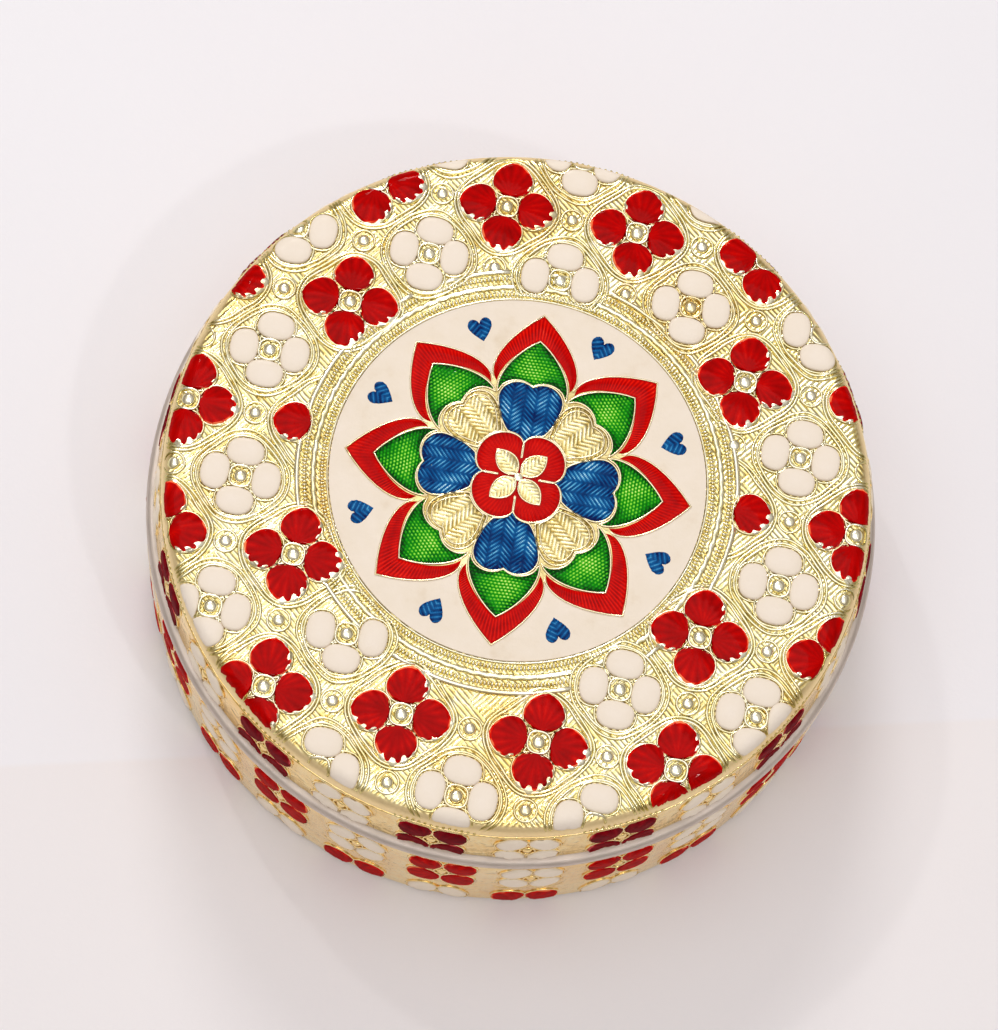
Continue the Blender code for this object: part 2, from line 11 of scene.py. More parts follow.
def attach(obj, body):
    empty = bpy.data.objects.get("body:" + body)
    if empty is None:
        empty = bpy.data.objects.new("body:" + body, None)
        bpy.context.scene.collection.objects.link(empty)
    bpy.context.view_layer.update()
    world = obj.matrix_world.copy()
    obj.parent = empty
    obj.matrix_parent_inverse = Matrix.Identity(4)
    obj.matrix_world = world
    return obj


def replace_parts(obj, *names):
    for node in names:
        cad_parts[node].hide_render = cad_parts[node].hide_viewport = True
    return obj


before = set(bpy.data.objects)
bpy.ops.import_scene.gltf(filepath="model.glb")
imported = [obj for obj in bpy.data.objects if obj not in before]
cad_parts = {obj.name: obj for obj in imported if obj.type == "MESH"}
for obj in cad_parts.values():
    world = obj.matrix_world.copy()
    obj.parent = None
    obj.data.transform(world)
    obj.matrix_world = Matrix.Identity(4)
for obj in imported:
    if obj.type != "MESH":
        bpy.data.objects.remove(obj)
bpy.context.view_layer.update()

# Studio: a pale table with painted light, paler and cooler past a straight line behind the box, and a
# camera almost over the lid. Soft lamps stand above and behind, and two small bright ones, like
# windows, give the gilt its glints.

SENSOR_WIDTH = 36.0
FOCAL_LENGTH = 99.82
NEAREST = 0.01
CAMERA_PLACE = (-0.00306, -0.0922, 0.3120)
CAMERA_RIGHT = Vector((0.97968, 0.18988, 0.06455))
CAMERA_UP = Vector((-0.20048, 0.93618, 0.28874))
LAMP_AIM = (0.0, 0.0, 0.02)
TABLE_REACH = 1.2
TABLE_DROP = 0.00005           # the table lies this far under the box, so that the two don't flicker
LIGHT_STEP_TURN = (-0.2511, 0.9680, 0.0)
LIGHT_STEP_EDGE = (-0.0222, -0.0216)

camera_data = bpy.data.cameras.new("camera")
camera_data.sensor_width = SENSOR_WIDTH
camera_data.lens = FOCAL_LENGTH
camera_data.clip_start = NEAREST
camera = bpy.data.objects.new("camera", camera_data)
camera_axes = Matrix((CAMERA_RIGHT, CAMERA_UP, CAMERA_RIGHT.cross(CAMERA_UP))).transposed()
camera.matrix_world = Matrix.Translation(CAMERA_PLACE) @ camera_axes.to_4x4()
bpy.context.scene.collection.objects.link(camera)
bpy.context.scene.camera = camera
bpy.context.scene.view_settings.view_transform = "Standard"


def new_finish(name):
    """A node material with its tree, its shader and the piece's own coordinates."""
    made = bpy.data.materials.new(name)
    made.use_nodes = True
    tree = made.node_tree
    place = tree.nodes.new("ShaderNodeTexCoord")
    return made, tree, tree.nodes["Principled BSDF"], place.outputs["Object"]


def node(tree, kind, wires=(), **settings):
    """Adds a node. Settings are its properties, and wires pairs of a socket's name and what feeds it."""
    made = tree.nodes.new(kind)
    for key, value in settings.items():
        setattr(made, key, value)
    for socket, feed in wires:
        if isinstance(feed, bpy.types.NodeSocket):
            tree.links.new(feed, made.inputs[socket])
        else:
            made.inputs[socket].default_value = feed
    return made


def fixed(shader, **values):
    """Sets sockets that are the same all over, each named in small letters with a low line for a space."""
    for socket in shader.inputs:
        key = socket.name.lower().replace(" ", "_")
        if key in values:
            socket.default_value = values[key]


def spread(tree, value, low, high, start=0.0, end=1.0):
    """Spreads a value of start to end over low to high, and holds it there past both ends."""
    wires = [("Value", value), ("From Min", start), ("From Max", end), ("To Min", low), ("To Max", high)]
    return node(tree, "ShaderNodeMapRange", wires).outputs["Result"]


def blend(tree, factor, first, second, kind="MIX"):
    """Mixes two colours."""
    wires = [("Factor", factor), (6, first), (7, second)]
    return node(tree, "ShaderNodeMix", wires, data_type="RGBA", blend_type=kind).outputs[2]


def height_of(tree, place):
    return node(tree, "ShaderNodeSeparateXYZ", [("Vector", place)]).outputs["Z"]


def grain(tree, place, scale, detail=3.0, roughness=0.5, distortion=0.0):
    """Cloudy variation, 0 to 1. Scale is in features per metre."""
    wires = [("Vector", place), ("Scale", scale), ("Detail", detail), ("Roughness", roughness)]
    wires.append(("Distortion", distortion))
    return node(tree, "ShaderNodeTexNoise", wires).outputs["Fac"]


def shades(tree, factor, *stops):
    """Colours along a factor, each stop a position and a linear colour."""
    ramp = node(tree, "ShaderNodeValToRGB", [("Fac", factor)])
    points = ramp.color_ramp.elements
    while len(points) < len(stops):
        points.new(0.5)
    for point, (position, colour) in zip(points, stops):
        point.position = position
        point.color = (*colour, 1.0)
    return ramp.outputs["Color"]


def emboss(tree, height, distance, strength=1.0, under=None):
    """Small relief from a height of 0 to 1, distance in metres, over any relief already there."""
    wires = [("Height", height), ("Distance", distance), ("Strength", strength)]
    if under:
        wires.append(("Normal", under))
    return node(tree, "ShaderNodeBump", wires).outputs["Normal"]


def as_mesh(name, bm):
    """A mesh from a bmesh, which is given up."""
    data = bpy.data.meshes.new(name)
    bm.to_mesh(data)
    bm.free()
    return data


def add_lamp(name, size, place, watts, colour):
    """A round lamp that looks at the box."""
    data = bpy.data.lights.new(name, "AREA")
    data.shape = "DISK"
    data.size = size
    data.energy = watts
    data.color = colour
    lamp = bpy.data.objects.new(name, data)
    lamp.location = place
    lamp.rotation_euler = (Vector(LAMP_AIM) - Vector(place)).to_track_quat("-Z", "Y").to_euler()
    bpy.context.scene.collection.objects.link(lamp)


add_lamp("soft lamp above", 0.60, (-0.06, -0.03, 0.62), 1.10, (1.0, 0.985, 0.975))
add_lamp("soft lamp behind", 0.16, (-0.12, 0.42, 0.44), 0.84, (1.0, 0.98, 0.96))
add_lamp("window behind left", 0.022, (-0.26, 0.30, 0.50), 0.26, (1.0, 0.99, 0.97))
add_lamp("window front right", 0.022, (0.24, -0.22, 0.52), 0.24, (1.0, 0.98, 0.97))

world = bpy.data.worlds.new("pale room")
world.use_nodes = True
bpy.context.scene.world = world
sky_tree = world.node_tree
sky_height = height_of(sky_tree, node(sky_tree, "ShaderNodeTexCoord").outputs["Generated"])
sky = shades(sky_tree, sky_height, (0.02, (0.47, 0.445, 0.45)), (0.20, (0.33, 0.300, 0.285)),
             (0.46, (0.275, 0.228, 0.170)), (0.78, (0.61, 0.60, 0.61)))
sky_tree.links.new(sky, sky_tree.nodes["Background"].inputs["Color"])
fixed(sky_tree.nodes["Background"], strength=1.0)

table_mesh = bmesh.new()
bmesh.ops.create_grid(table_mesh, x_segments=4, y_segments=4, size=TABLE_REACH)
bmesh.ops.translate(table_mesh, verts=table_mesh.verts[:], vec=(0.0, 0.0, -TABLE_DROP))
table_data = as_mesh("table", table_mesh)
table = bpy.data.objects.new("table", table_data)
bpy.context.scene.collection.objects.link(table)
paper, tree, shader, place = new_finish("pale table, painted lighter behind")
# Painted light: past a straight line behind the box the table is painted paler and cooler.
seam = node(tree, "ShaderNodeVectorMath", [(0, place), (1, LIGHT_STEP_TURN)], operation="DOT_PRODUCT")
past_seam = spread(tree, seam.outputs["Value"], 0.0, 1.0, *LIGHT_STEP_EDGE)
painted_lighter_far = shades(tree, grain(tree, place, 9.0), (0.35, (0.88, 0.865, 0.905)), (0.65, (0.90, 0.89, 0.93)))
near = shades(tree, grain(tree, place, 12.0), (0.35, (0.87, 0.835, 0.855)), (0.65, (0.90, 0.87, 0.885)))
tree.links.new(blend(tree, past_seam, near, painted_lighter_far), shader.inputs["Base Color"])
fixed(shader, roughness=0.75, specular_ior_level=0.2)
tree.links.new(emboss(tree, grain(tree, place, 2500.0), 0.00002), shader.inputs["Normal"])
table_data.materials.append(paper)


# Base pan: one piece of drawn aluminium, satin from the drawing, with a rolled bead round its
# upper edge, the ledge that the lid rests on, and the neck that the lid slips over.

BODY_RADIUS = 0.0387
BODY_FLARE = 0.0004
BODY_CORNER = 0.0010
BEAD_LOW = 0.0176
BEAD_STAND = 0.00065           # how far the bead stands out of the wall
BEAD_DEPTH = 0.00072
BEAD_HALF = 0.00074
LEDGE = 0.0191
LEDGE_EASE = 0.0003            # where the neck rises from the ledge
NECK_TOP = 0.0249
METAL = 0.0006
LID_RADIUS = 0.0365
LID_FLARE = 0.0010
LID_EDGE = 0.0194
LID_TOP = 0.0270
SLIP_GAP = 0.00035             # between the neck and the lid


def body_radius(z):
    return BODY_RADIUS + BODY_FLARE * (BEAD_LOW - z) / BEAD_LOW


def lid_radius(z):
    return LID_RADIUS + LID_FLARE * (LID_TOP - z) / (LID_TOP - LID_EDGE)


def neck_radius(z):
    return lid_radius(z) - METAL - SLIP_GAP


def round_off(cx, cz, radius, start, end, steps):
    """Points of a rounded stretch of a turned profile."""
    turn = [radians(start + (end - start) * k / steps) for k in range(steps + 1)]
    return [(cx + radius * cos(a), cz + radius * sin(a)) for a in turn]


def shown(name, bm, finish, body, smooth=40.0):
    """Makes a bmesh into a piece of the box that rides on a body."""
    bmesh.ops.remove_doubles(bm, verts=bm.verts[:], dist=1e-7)
    bmesh.ops.recalc_face_normals(bm, faces=bm.faces[:])
    data = as_mesh(name, bm)
    data.shade_smooth()
    data.set_sharp_from_angle(angle=radians(smooth))
    data.materials.append(finish)
    piece = bpy.data.objects.new(name, data)
    bpy.context.scene.collection.objects.link(piece)
    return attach(piece, body)


def add_copy(bm, shape, angle=0.0):
    """Adds a mesh to a bmesh, turned about the axis, and gives back its new points."""
    known = len(bm.verts)
    bm.from_mesh(shape)
    fresh = bm.verts[known:]
    bmesh.ops.rotate(bm, verts=fresh, cent=(0, 0, 0), matrix=Matrix.Rotation(angle, 3, "Z"))
    return fresh


def open_edges(bm):
    return [edge for edge in bm.edges if len(edge.link_faces) == 1]


def turned(bm, profile, steps=240):
    """Turns a profile about the box's axis, a twelfth at a time, and closes the poles if it has any."""
    open_ends = profile[0][0] == 0.0
    points = profile[1:-1] if open_ends else profile
    wedge = bmesh.new()
    verts = [wedge.verts.new((r, 0.0, z)) for r, z in points]
    edges = [wedge.edges.new(pair) for pair in zip(verts, verts[1:])]
    if not open_ends:
        edges.append(wedge.edges.new((verts[-1], verts[0])))
    bmesh.ops.spin(wedge, geom=verts + edges, cent=(0, 0, 0), axis=(0, 0, 1), dvec=(0, 0, 0),
                   angle=pi / 6, steps=steps // 12)
    shape = as_mesh("wedge", wedge)
    for k in range(12):
        add_copy(bm, shape, k * pi / 6)
    bpy.data.meshes.remove(shape)
    bmesh.ops.remove_doubles(bm, verts=bm.verts[:], dist=1e-6)
    if open_ends:
        bmesh.ops.holes_fill(bm, edges=open_edges(bm), sides=0)


satin, tree, shader, place = new_finish("satin aluminium")
drawn = node(tree, "ShaderNodeMapping", [("Vector", place), ("Scale", (1.0, 1.0, 14.0))]).outputs["Vector"]
streaks = grain(tree, drawn, 260.0, 4.0)
metal_tone = shades(tree, streaks, (0.3, (0.60, 0.53, 0.47)), (0.7, (0.76, 0.67, 0.60)))
wear = grain(tree, place, 900.0, 4.0, 0.6)
tree.links.new(metal_tone, shader.inputs["Base Color"])
tree.links.new(spread(tree, wear, 0.50, 0.64), shader.inputs["Roughness"])
tree.links.new(emboss(tree, streaks, 0.00003, 0.6, emboss(tree, wear, 0.000012)), shader.inputs["Normal"])
fixed(shader, metallic=1.0)

bead_middle = (BEAD_LOW + LEDGE) / 2
bead_inner = BODY_RADIUS + BEAD_STAND - BEAD_DEPTH
bead_arc = round_off(0, 0, 1.0, -84, 84, 12)
bead_curve = [(bead_inner + BEAD_DEPTH * x, bead_middle + BEAD_HALF * z) for x, z in bead_arc]
floor_corner = body_radius(METAL) - METAL - BODY_CORNER
pan_profile = [(0.0, 0.0)]
pan_profile += round_off(body_radius(BODY_CORNER) - BODY_CORNER, BODY_CORNER, BODY_CORNER, -90, 0, 6)
pan_profile += [(BODY_RADIUS, BEAD_LOW), *bead_curve]
pan_profile += [(neck_radius(LEDGE) + LEDGE_EASE, LEDGE), (neck_radius(LEDGE), LEDGE + LEDGE_EASE)]
pan_profile += round_off(neck_radius(NECK_TOP) - METAL / 2, NECK_TOP - METAL / 2, METAL / 2, 0, 180, 6)
pan_profile += [(neck_radius(LEDGE) - METAL, LEDGE - METAL / 2), (neck_radius(LEDGE) - METAL, LEDGE - METAL)]
pan_profile += [(BODY_RADIUS - METAL, LEDGE - METAL)]
pan_profile += round_off(floor_corner, METAL + BODY_CORNER, BODY_CORNER, 0, -90, 5)
pan_profile += [(0.0, METAL)]
bm = bmesh.new()
turned(bm, pan_profile)
base_pan = shown("base_pan_drawn", bm, satin, "base")
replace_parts(base_pan, "base_pan")


# Lining: red velvet glued over card, a collar round the wall and a pad on the floor and in the lid.
# The pads are a little crowned, and their cloth is drawn in at the rim.

CARD = 0.0010
SEAT_GAP = 0.0003
FLOOR_PAD = 0.0020
LID_PAD = 0.0011

velvet, tree, shader, place = new_finish("red velvet")
pile = grain(tree, place, 5200.0, 2.0, 0.7)
brushed = grain(tree, place, 130.0, 3.0, 0.55, 0.6)
deep = shades(tree, brushed, (0.35, (0.105, 0.004, 0.010)), (0.62, (0.215, 0.010, 0.022)))
tuft = shades(tree, pile, (0.3, (0.45, 0.45, 0.45)), (0.7, (1.25, 1.2, 1.2)))
tree.links.new(blend(tree, 1.0, deep, tuft, "MULTIPLY"), shader.inputs["Base Color"])
tree.links.new(emboss(tree, pile, 0.00018, 0.8, emboss(tree, brushed, 0.0005, 0.5)), shader.inputs["Normal"])
fixed(shader, roughness=0.95, specular_ior_level=0.15)
fixed(shader, sheen_weight=0.8, sheen_roughness=0.35, sheen_tint=(1.0, 0.45, 0.45, 1.0))

collar_outer = neck_radius(NECK_TOP) - METAL - SEAT_GAP
collar_inner = collar_outer - CARD
collar_low = METAL + SEAT_GAP
collar_high = NECK_TOP - 0.0010
collar_round = CARD / 2
collar_side = collar_high - collar_low
collar_profile = [(collar_inner, collar_low), (collar_outer, collar_low)]
collar_profile += [(collar_outer, collar_low + collar_side * k / 20) for k in range(1, 20)]
collar_profile += round_off(collar_outer - collar_round, collar_high - collar_round, collar_round, 0, 180, 8)
collar_profile += [(collar_inner, collar_high - collar_round - (collar_side - collar_round) * k / 20)
                   for k in range(1, 20)]
bm = bmesh.new()
turned(bm, collar_profile, 180)
for vert in bm.verts:
    angle = atan2(vert.co.y, vert.co.x)
    reach = hypot(vert.co.x, vert.co.y)
    ripple = 0.00009 * noise.noise(Vector((cos(angle) * 9, sin(angle) * 9, vert.co.z * 260)))
    inward = max(0.0, min(1.0, (collar_outer - reach) / CARD))
    vert.co.xy *= (reach + (ripple - 0.00004) * inward) / reach
collar = shown("base_wall_velvet", bm, velvet, "base")
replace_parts(collar, "base_lining_wall")


def make_velvet_pad(name, rim, seat, thickness, side, body):
    """A card pad under velvet, with a crown, a rolled edge and cloth drawn in at the rim."""
    fall = thickness * 0.38
    profile = [(0.0, seat), (rim - fall, seat)]
    profile += [(rim - fall + fall * 0.98 * cos(a), seat + side * (thickness * 0.45 + fall * sin(a)))
                for a in [radians(-80 + 160 * k / 10) for k in range(11)]]
    for k in range(1, 40):
        share = 1 - k / 40
        crown = 0.82 + 0.16 * sqrt(1 - share ** 2)
        profile.append((rim * share - fall, seat + side * thickness * crown))
    profile += [(0.0, seat + side * thickness * 0.98)]
    made = bmesh.new()
    turned(made, profile, 160)
    for vert in made.verts:
        level = (vert.co.z - seat) * side
        if level > thickness * 0.1:
            angle = atan2(vert.co.y, vert.co.x)
            edge = max(0.0, hypot(vert.co.x, vert.co.y) / rim - 0.86) / 0.14
            gather = 0.045 * thickness * sin(angle * 46 + 2 * sin(angle * 5)) * edge
            dent = 0.05 * thickness * noise.noise(vert.co * 120)
            vert.co.z += side * (gather + dent - 0.055 * thickness)
    pad = shown(name, made, velvet, body)
    return pad


floor_rim = collar_inner - SEAT_GAP
floor_pad = make_velvet_pad("base_floor_velvet", floor_rim, collar_low, FLOOR_PAD, 1.0, "base")
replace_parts(floor_pad, "base_lining_pad")
lid_rim = neck_radius(NECK_TOP) - METAL - 2 * SEAT_GAP
lid_pad = make_velvet_pad("lid_velvet", lid_rim, LID_TOP - METAL - SEAT_GAP, LID_PAD, -1.0, "lid")
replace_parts(lid_pad, "lid_lining_pad")


# Lid pan: drawn aluminium with a short skirt, whose lower edge is rounded over.
# Only that edge and the inside can be seen.

LID_CORNER = 0.0006

inner_corner = LID_CORNER / 2
lid_ceiling = LID_TOP - METAL
lid_profile = [(0.0, lid_ceiling)]
corner_reach = LID_RADIUS - METAL - inner_corner
lid_profile += round_off(corner_reach, lid_ceiling - inner_corner, inner_corner, 90, 0, 4)
lid_profile += round_off(lid_radius(LID_EDGE) - METAL / 2, LID_EDGE + METAL / 2, METAL / 2, 180, 360, 8)
lid_profile += round_off(LID_RADIUS - LID_CORNER, LID_TOP - LID_CORNER, LID_CORNER, 0, 90, 5)
lid_profile += [(0.0, LID_TOP)]
bm = bmesh.new()
turned(bm, lid_profile)
lid_pan = shown("lid_pan_drawn", bm, satin, "lid")
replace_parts(lid_pan, "lid_pan")


# Top sheet: thin gilt aluminium, stamped with the whole pattern and folded down over the lid's edge.
# Its field is never quite flat, and is covered with fine hatching between the flowers.

STEP = 0.0143                  # one step of the pattern's grid, from a red flower to the next
FIELD = 0.0274                 # height of the sheet between what is stamped in it
FLAT_REACH = 0.0359
FOLD = 0.0015
FOLD_END = 1.05                # the pattern ends at this angle of the fold, in radians
FOLD_HIDDEN = 0.0004           # what would lie past it is sunk this far into the sheet
SHEET = 0.0003
SHEET_EDGE = 0.0258


def on_sheet(x, y, rise):
    """From the flat stamped sheet, in metres off the box's axis, to the folded one, where the pattern
    is pressed lower and ends part of the way down."""
    reach = hypot(x, y)
    if reach <= FLAT_REACH:
        return Vector((x, y, FIELD + rise))
    angle = (reach - FLAT_REACH) / FOLD
    if angle > FOLD_END:
        angle = FOLD_END
        rise = -FOLD_HIDDEN
    elif rise > 0:
        share = angle / FOLD_END
        rise = rise * (1 - 0.7 * share) - 0.00022 * share ** 2
    out = FLAT_REACH + (FOLD + rise) * sin(angle)
    return Vector((x / reach * out, y / reach * out, FIELD - FOLD + (FOLD + rise) * cos(angle)))


def times_plus(tree, value, by, more):
    """value times by, plus more."""
    wires = [(0, value), (1, by), (2, more)]
    return node(tree, "ShaderNodeMath", wires, operation="MULTIPLY_ADD").outputs[0]


def strokes(tree, place, lean):
    """Fine wavy hatching that leans by an angle."""
    turned_place = node(tree, "ShaderNodeMapping", [("Vector", place), ("Rotation", (0.0, 0.0, lean))])
    wires = [("Vector", turned_place.outputs["Vector"]), ("Scale", 660.0), ("Distortion", 3.0)]
    wires += [("Detail", 2.0), ("Detail Scale", 0.4)]
    return node(tree, "ShaderNodeTexWave", wires).outputs["Fac"]


def make_gilt(name, height, olive_shade, gold, pale, hatching=0.0, fold=None):
    """Bright gilt foil with its light and shade painted in: a painted highlight on what stands up and on
    the crinkles and hatching, painted olive shade in the hollows, and fine grain. Where the sheet is
    folded down the pattern fades and the gilt looks tan."""
    made, tree, shader, place = new_finish(name)
    crinkle = grain(tree, place, 640.0, 2.0, 0.5, 0.8)
    # Painted light: the tone follows the relief, so what stands up is painted pale and the hollows olive.
    tone = times_plus(tree, crinkle, 0.50, height(tree, place))
    flat = 1.0
    if fold:
        flat = spread(tree, height_of(tree, place), 0.08, 1.0, FIELD - 0.00026, FIELD - 0.00007)
    fine = emboss(tree, grain(tree, place, 2600.0, 2.0, 0.5), 0.00002, 0.5)
    relief = emboss(tree, crinkle, 0.00012 if hatching else 0.00006, flat, fine)
    if hatching:
        side = spread(tree, grain(tree, place, 260.0, 0.0), 0.0, 1.0, 0.46, 0.54)
        wires = [("Factor", side), (2, strokes(tree, place, 0.62)), (3, strokes(tree, place, -0.9))]
        lines = node(tree, "ShaderNodeMix", wires).outputs[0]
        # Painted shade and highlight along the hatching lines.
        tone = times_plus(tree, lines, 0.30 * hatching, tone)
        relief = emboss(tree, lines, 0.00010 * hatching, flat, relief)
    colour = shades(tree, tone, (0.26, olive_shade), (0.50, gold), (0.74, pale))
    patches = grain(tree, place, 52.0, 3.0, 0.6)
    worn = shades(tree, patches, (0.50, (1.0, 1.0, 1.0)), (0.70, (0.94, 0.83, 0.62)))
    colour = blend(tree, 1.0, colour, worn, "MULTIPLY")
    if fold:
        colour = blend(tree, flat, (*fold, 1.0), colour)
    dull = spread(tree, grain(tree, place, 1900.0, 2.0), 0.42, 0.62)
    tree.links.new(colour, shader.inputs["Base Color"])
    tree.links.new(times_plus(tree, flat, -0.32, dull), shader.inputs["Roughness"])
    tree.links.new(relief, shader.inputs["Normal"])
    fixed(shader, metallic=1.0)
    return made


# Painted light on the lid's gilt: the higher it stands, the paler it is painted.
def height_on_lid(tree, place):
    return spread(tree, height_of(tree, place), 0.10, 0.49, FIELD - 0.0001, FIELD + 0.0003)


gilt_top = make_gilt("gilt sheet, field", height_on_lid, (0.58, 0.37, 0.04), (0.87, 0.755, 0.37),
                     (1.0, 0.98, 0.86), hatching=0.5, fold=(1.0, 0.80, 0.45))
gilt_ridge = make_gilt("gilt sheet, ridges", height_on_lid, (0.46, 0.35, 0.07), (0.86, 0.77, 0.38),
                       (1.0, 0.95, 0.74))

bm = bmesh.new()
sheet_profile = [(0.0, FIELD - SHEET)]
sheet_profile += round_off(FLAT_REACH, FIELD - FOLD, FOLD - SHEET, 90, 0, 6)
sheet_profile += [(FLAT_REACH + FOLD - SHEET, SHEET_EDGE), (FLAT_REACH + FOLD, SHEET_EDGE)]
sheet_profile += round_off(FLAT_REACH, FIELD - FOLD, FOLD, 0, 90, 14)
sheet_profile += [(FLAT_REACH * (1 - k / 90), FIELD) for k in range(1, 90)]
sheet_profile += [(0.0, FIELD)]
turned(bm, sheet_profile, 300)
for vert in bm.verts:
    if vert.co.z > FIELD - 0.0001:
        wave = noise.noise(vert.co * 620) * 0.6 + noise.noise(vert.co * 1500) * 0.4
        vert.co.z += 0.000045 * wave - 0.00002
top_sheet = shown("lid_top_sheet_stamped", bm, gilt_top, "lid")
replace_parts(top_sheet, "lid_top_sheet")


# Where the stamped flowers lie: red ones and cream ones in turn on the diagonals of one square grid,
# and a bead on every other crossing. The medallion's rings cut off what lies under them.

GRID_X = 0.00003
GRID_Y = 0.00156
RING_X = -0.0002
RING_Y = 0.0003
FLOWER_NEAR = 1.48             # a flower nearer than this to the medallion isn't stamped
PETAL_NEAR = 1.56              # nor is a petal
BEAD_NEAR = 1.60               # nor is a bead
PAST_EDGE = 0.0062             # flowers lie up to this far past the flat of the sheet
PETAL_PAST_EDGE = 0.0016
BEAD_PAST_EDGE = 0.0015
PETAL_MIDDLE = 0.215           # from a flower's middle to a petal's
PETAL_SWAY = 0.22


def ring_reach(x, y):
    """Distance from the medallion's centre, in grid steps."""
    return hypot(x - RING_X, y - RING_Y) / STEP


flowers = []
beads = []
petals = []
for i in range(-6, 7):
    for j in range(-6, 7):
        x = GRID_X + i / 2 * STEP
        y = GRID_Y + j / 2 * STEP
        if hypot(x, y) > FLAT_REACH + PAST_EDGE:
            continue
        kind = {(1, 0): "red", (0, 1): "cream"}.get((i % 2, j % 2), "bead")
        if kind == "bead":
            if ring_reach(x, y) > BEAD_NEAR and hypot(x, y) < FLAT_REACH + BEAD_PAST_EDGE:
                beads.append((x, y))
            continue
        if ring_reach(x, y) < FLOWER_NEAR:
            continue
        grown = []
        for k in range(4):
            turn = k * pi / 2
            px = x + PETAL_MIDDLE * STEP * cos(turn)
            py = y + PETAL_MIDDLE * STEP * sin(turn)
            if ring_reach(px, py) > PETAL_NEAR and hypot(px, py) < FLAT_REACH + PETAL_PAST_EDGE:
                grown.append(turn + PETAL_SWAY * noise.noise(Vector((px, py, 0.0)) * 700))
                petals.append((px, py))
        if grown:
            flowers.append((kind, x, y, grown))


# Wires of the pattern: round ridges that the stamp leaves round every petal, two wavy ones round
# each flower, and rings round the beads.

SHELL_FOOT = 0.086             # inner end of a red petal
SHELL_REACH = 0.250
SHELL_SPREAD = 86              # the outline runs this many degrees to both sides of the petal's axis
WIRE_CLEAR = 1.43              # wires keep this far from the medallion, in grid steps
WIRE_CLEAR_LONE = 1.63         # wires round a lone petal, or round a bead
LONE_REACH = 2.0


def tubes(name, loops, radius, finish, body):
    """Closed round ridges along loops of points."""
    curve = bpy.data.curves.new(name, "CURVE")
    curve.dimensions = "3D"
    curve.bevel_depth = radius
    curve.bevel_resolution = 1
    for loop in loops:
        spline = curve.splines.new("POLY")
        spline.points.add(len(loop) - 1)
        for point, place in zip(spline.points, loop):
            point.co = (*place, 1.0)
        spline.use_cyclic_u = True
    drawn = bpy.data.objects.new(name + "_line", curve)
    bpy.context.scene.collection.objects.link(drawn)
    bpy.context.view_layer.update()
    data = bpy.data.meshes.new_from_object(drawn.evaluated_get(bpy.context.evaluated_depsgraph_get()))
    bpy.data.objects.remove(drawn)
    made = bmesh.new()
    made.from_mesh(data)
    bpy.data.meshes.remove(data)
    return shown(name, made, finish, body, 80.0)


def shell_reach(bend):
    """Outline of a red petal, from its inner end, at an angle to its axis."""
    return SHELL_REACH * cos(bend) ** 0.66 * (1 + 0.07 * max(0.0, 1 - abs(bend) / 0.45))


def shell_outline(count, grow):
    """A red petal's outline, grown outwards from the petal's middle."""
    wide = []
    for k in range(count):
        bend = radians(-SHELL_SPREAD + 2 * SHELL_SPREAD * k / (count - 1))
        u = SHELL_FOOT + shell_reach(bend) * cos(bend)
        v = shell_reach(bend) * sin(bend)
        share = 1 + grow / hypot(u - PETAL_MIDDLE, v)
        wide.append((PETAL_MIDDLE + (u - PETAL_MIDDLE) * share, v * share))
    return wide


def oval_point(x, y, grow=0.0):
    """A cream petal's squarish oval, from a point of the unit circle."""
    fuller = (abs(x) ** 2.5 + abs(y) ** 2.5) ** -0.4 * hypot(x, y)
    return 0.191 + (0.105 + grow) * x * fuller, (0.138 + grow) * y * fuller * (1 - 0.05 * x)


def angles_of(count):
    """A full turn in equal steps."""
    return [2 * pi * k / count for k in range(count)]


def oval_outline(count, grow):
    return [oval_point(cos(a), sin(a), grow) for a in angles_of(count)]


def spun(u, v, x, y, turn):
    """From a petal's own steps to the flat sheet."""
    return x + STEP * (u * cos(turn) - v * sin(turn)), y + STEP * (u * sin(turn) + v * cos(turn))


def clear_of_ring(x, y, least):
    """Moves a point of an outline out to the medallion's rings."""
    reach = ring_reach(x, y)
    if reach >= least:
        return x, y
    return RING_X + (x - RING_X) * least / reach, RING_Y + (y - RING_Y) * least / reach


def has_bead(x, y, grown):
    """A flower that the rings leave only one petal of has no bead in its middle."""
    return len(grown) > 1 or ring_reach(x, y) > LONE_REACH


petal_wires = []
flower_wires = []
bead_wires = []
for kind, x, y, grown in flowers:
    outline = shell_outline(24, 0.012) if kind == "red" else oval_outline(22, 0.014)
    for turn in grown:
        loop = [spun(u, v, x, y, turn) for u, v in outline]
        petal_wires.append([on_sheet(px, py, 0.00008) for px, py in loop])
    least = WIRE_CLEAR if len(grown) > 1 else WIRE_CLEAR_LONE
    ways = ((0.314, 0.014, 0.00006), (0.346, 0.016, 0.00003))
    if kind == "red":
        ways = ((0.350, 0.026, 0.00006), (0.377, 0.022, 0.00003))
    for reach, wave, rise in ways:
        loop = []
        own = Vector((x * 300, y * 300 + reach * 9, 0))
        for angle in angles_of(72):
            wander = 0.010 * noise.noise(own + Vector((cos(angle), sin(angle), 0)) * 2.2)
            out = reach + wave * cos(4 * angle) + wander
            loop.append(clear_of_ring(x + out * STEP * cos(angle), y + out * STEP * sin(angle), least))
        flower_wires.append([on_sheet(px, py, rise) for px, py in loop])
    if has_bead(x, y, grown):
        square = []
        for angle in angles_of(24):
            out = 0.084 + 0.004 * cos(4 * (angle - pi / 4))
            square.append(on_sheet(x + out * STEP * cos(angle), y + out * STEP * sin(angle), 0.00022))
        bead_wires.append(square)
for x, y in beads:
    out = 0.082
    ring = [(x + out * STEP * cos(angle), y + out * STEP * sin(angle)) for angle in angles_of(24)]
    bead_wires.append([on_sheet(*clear_of_ring(px, py, WIRE_CLEAR_LONE), 0.00008) for px, py in ring])
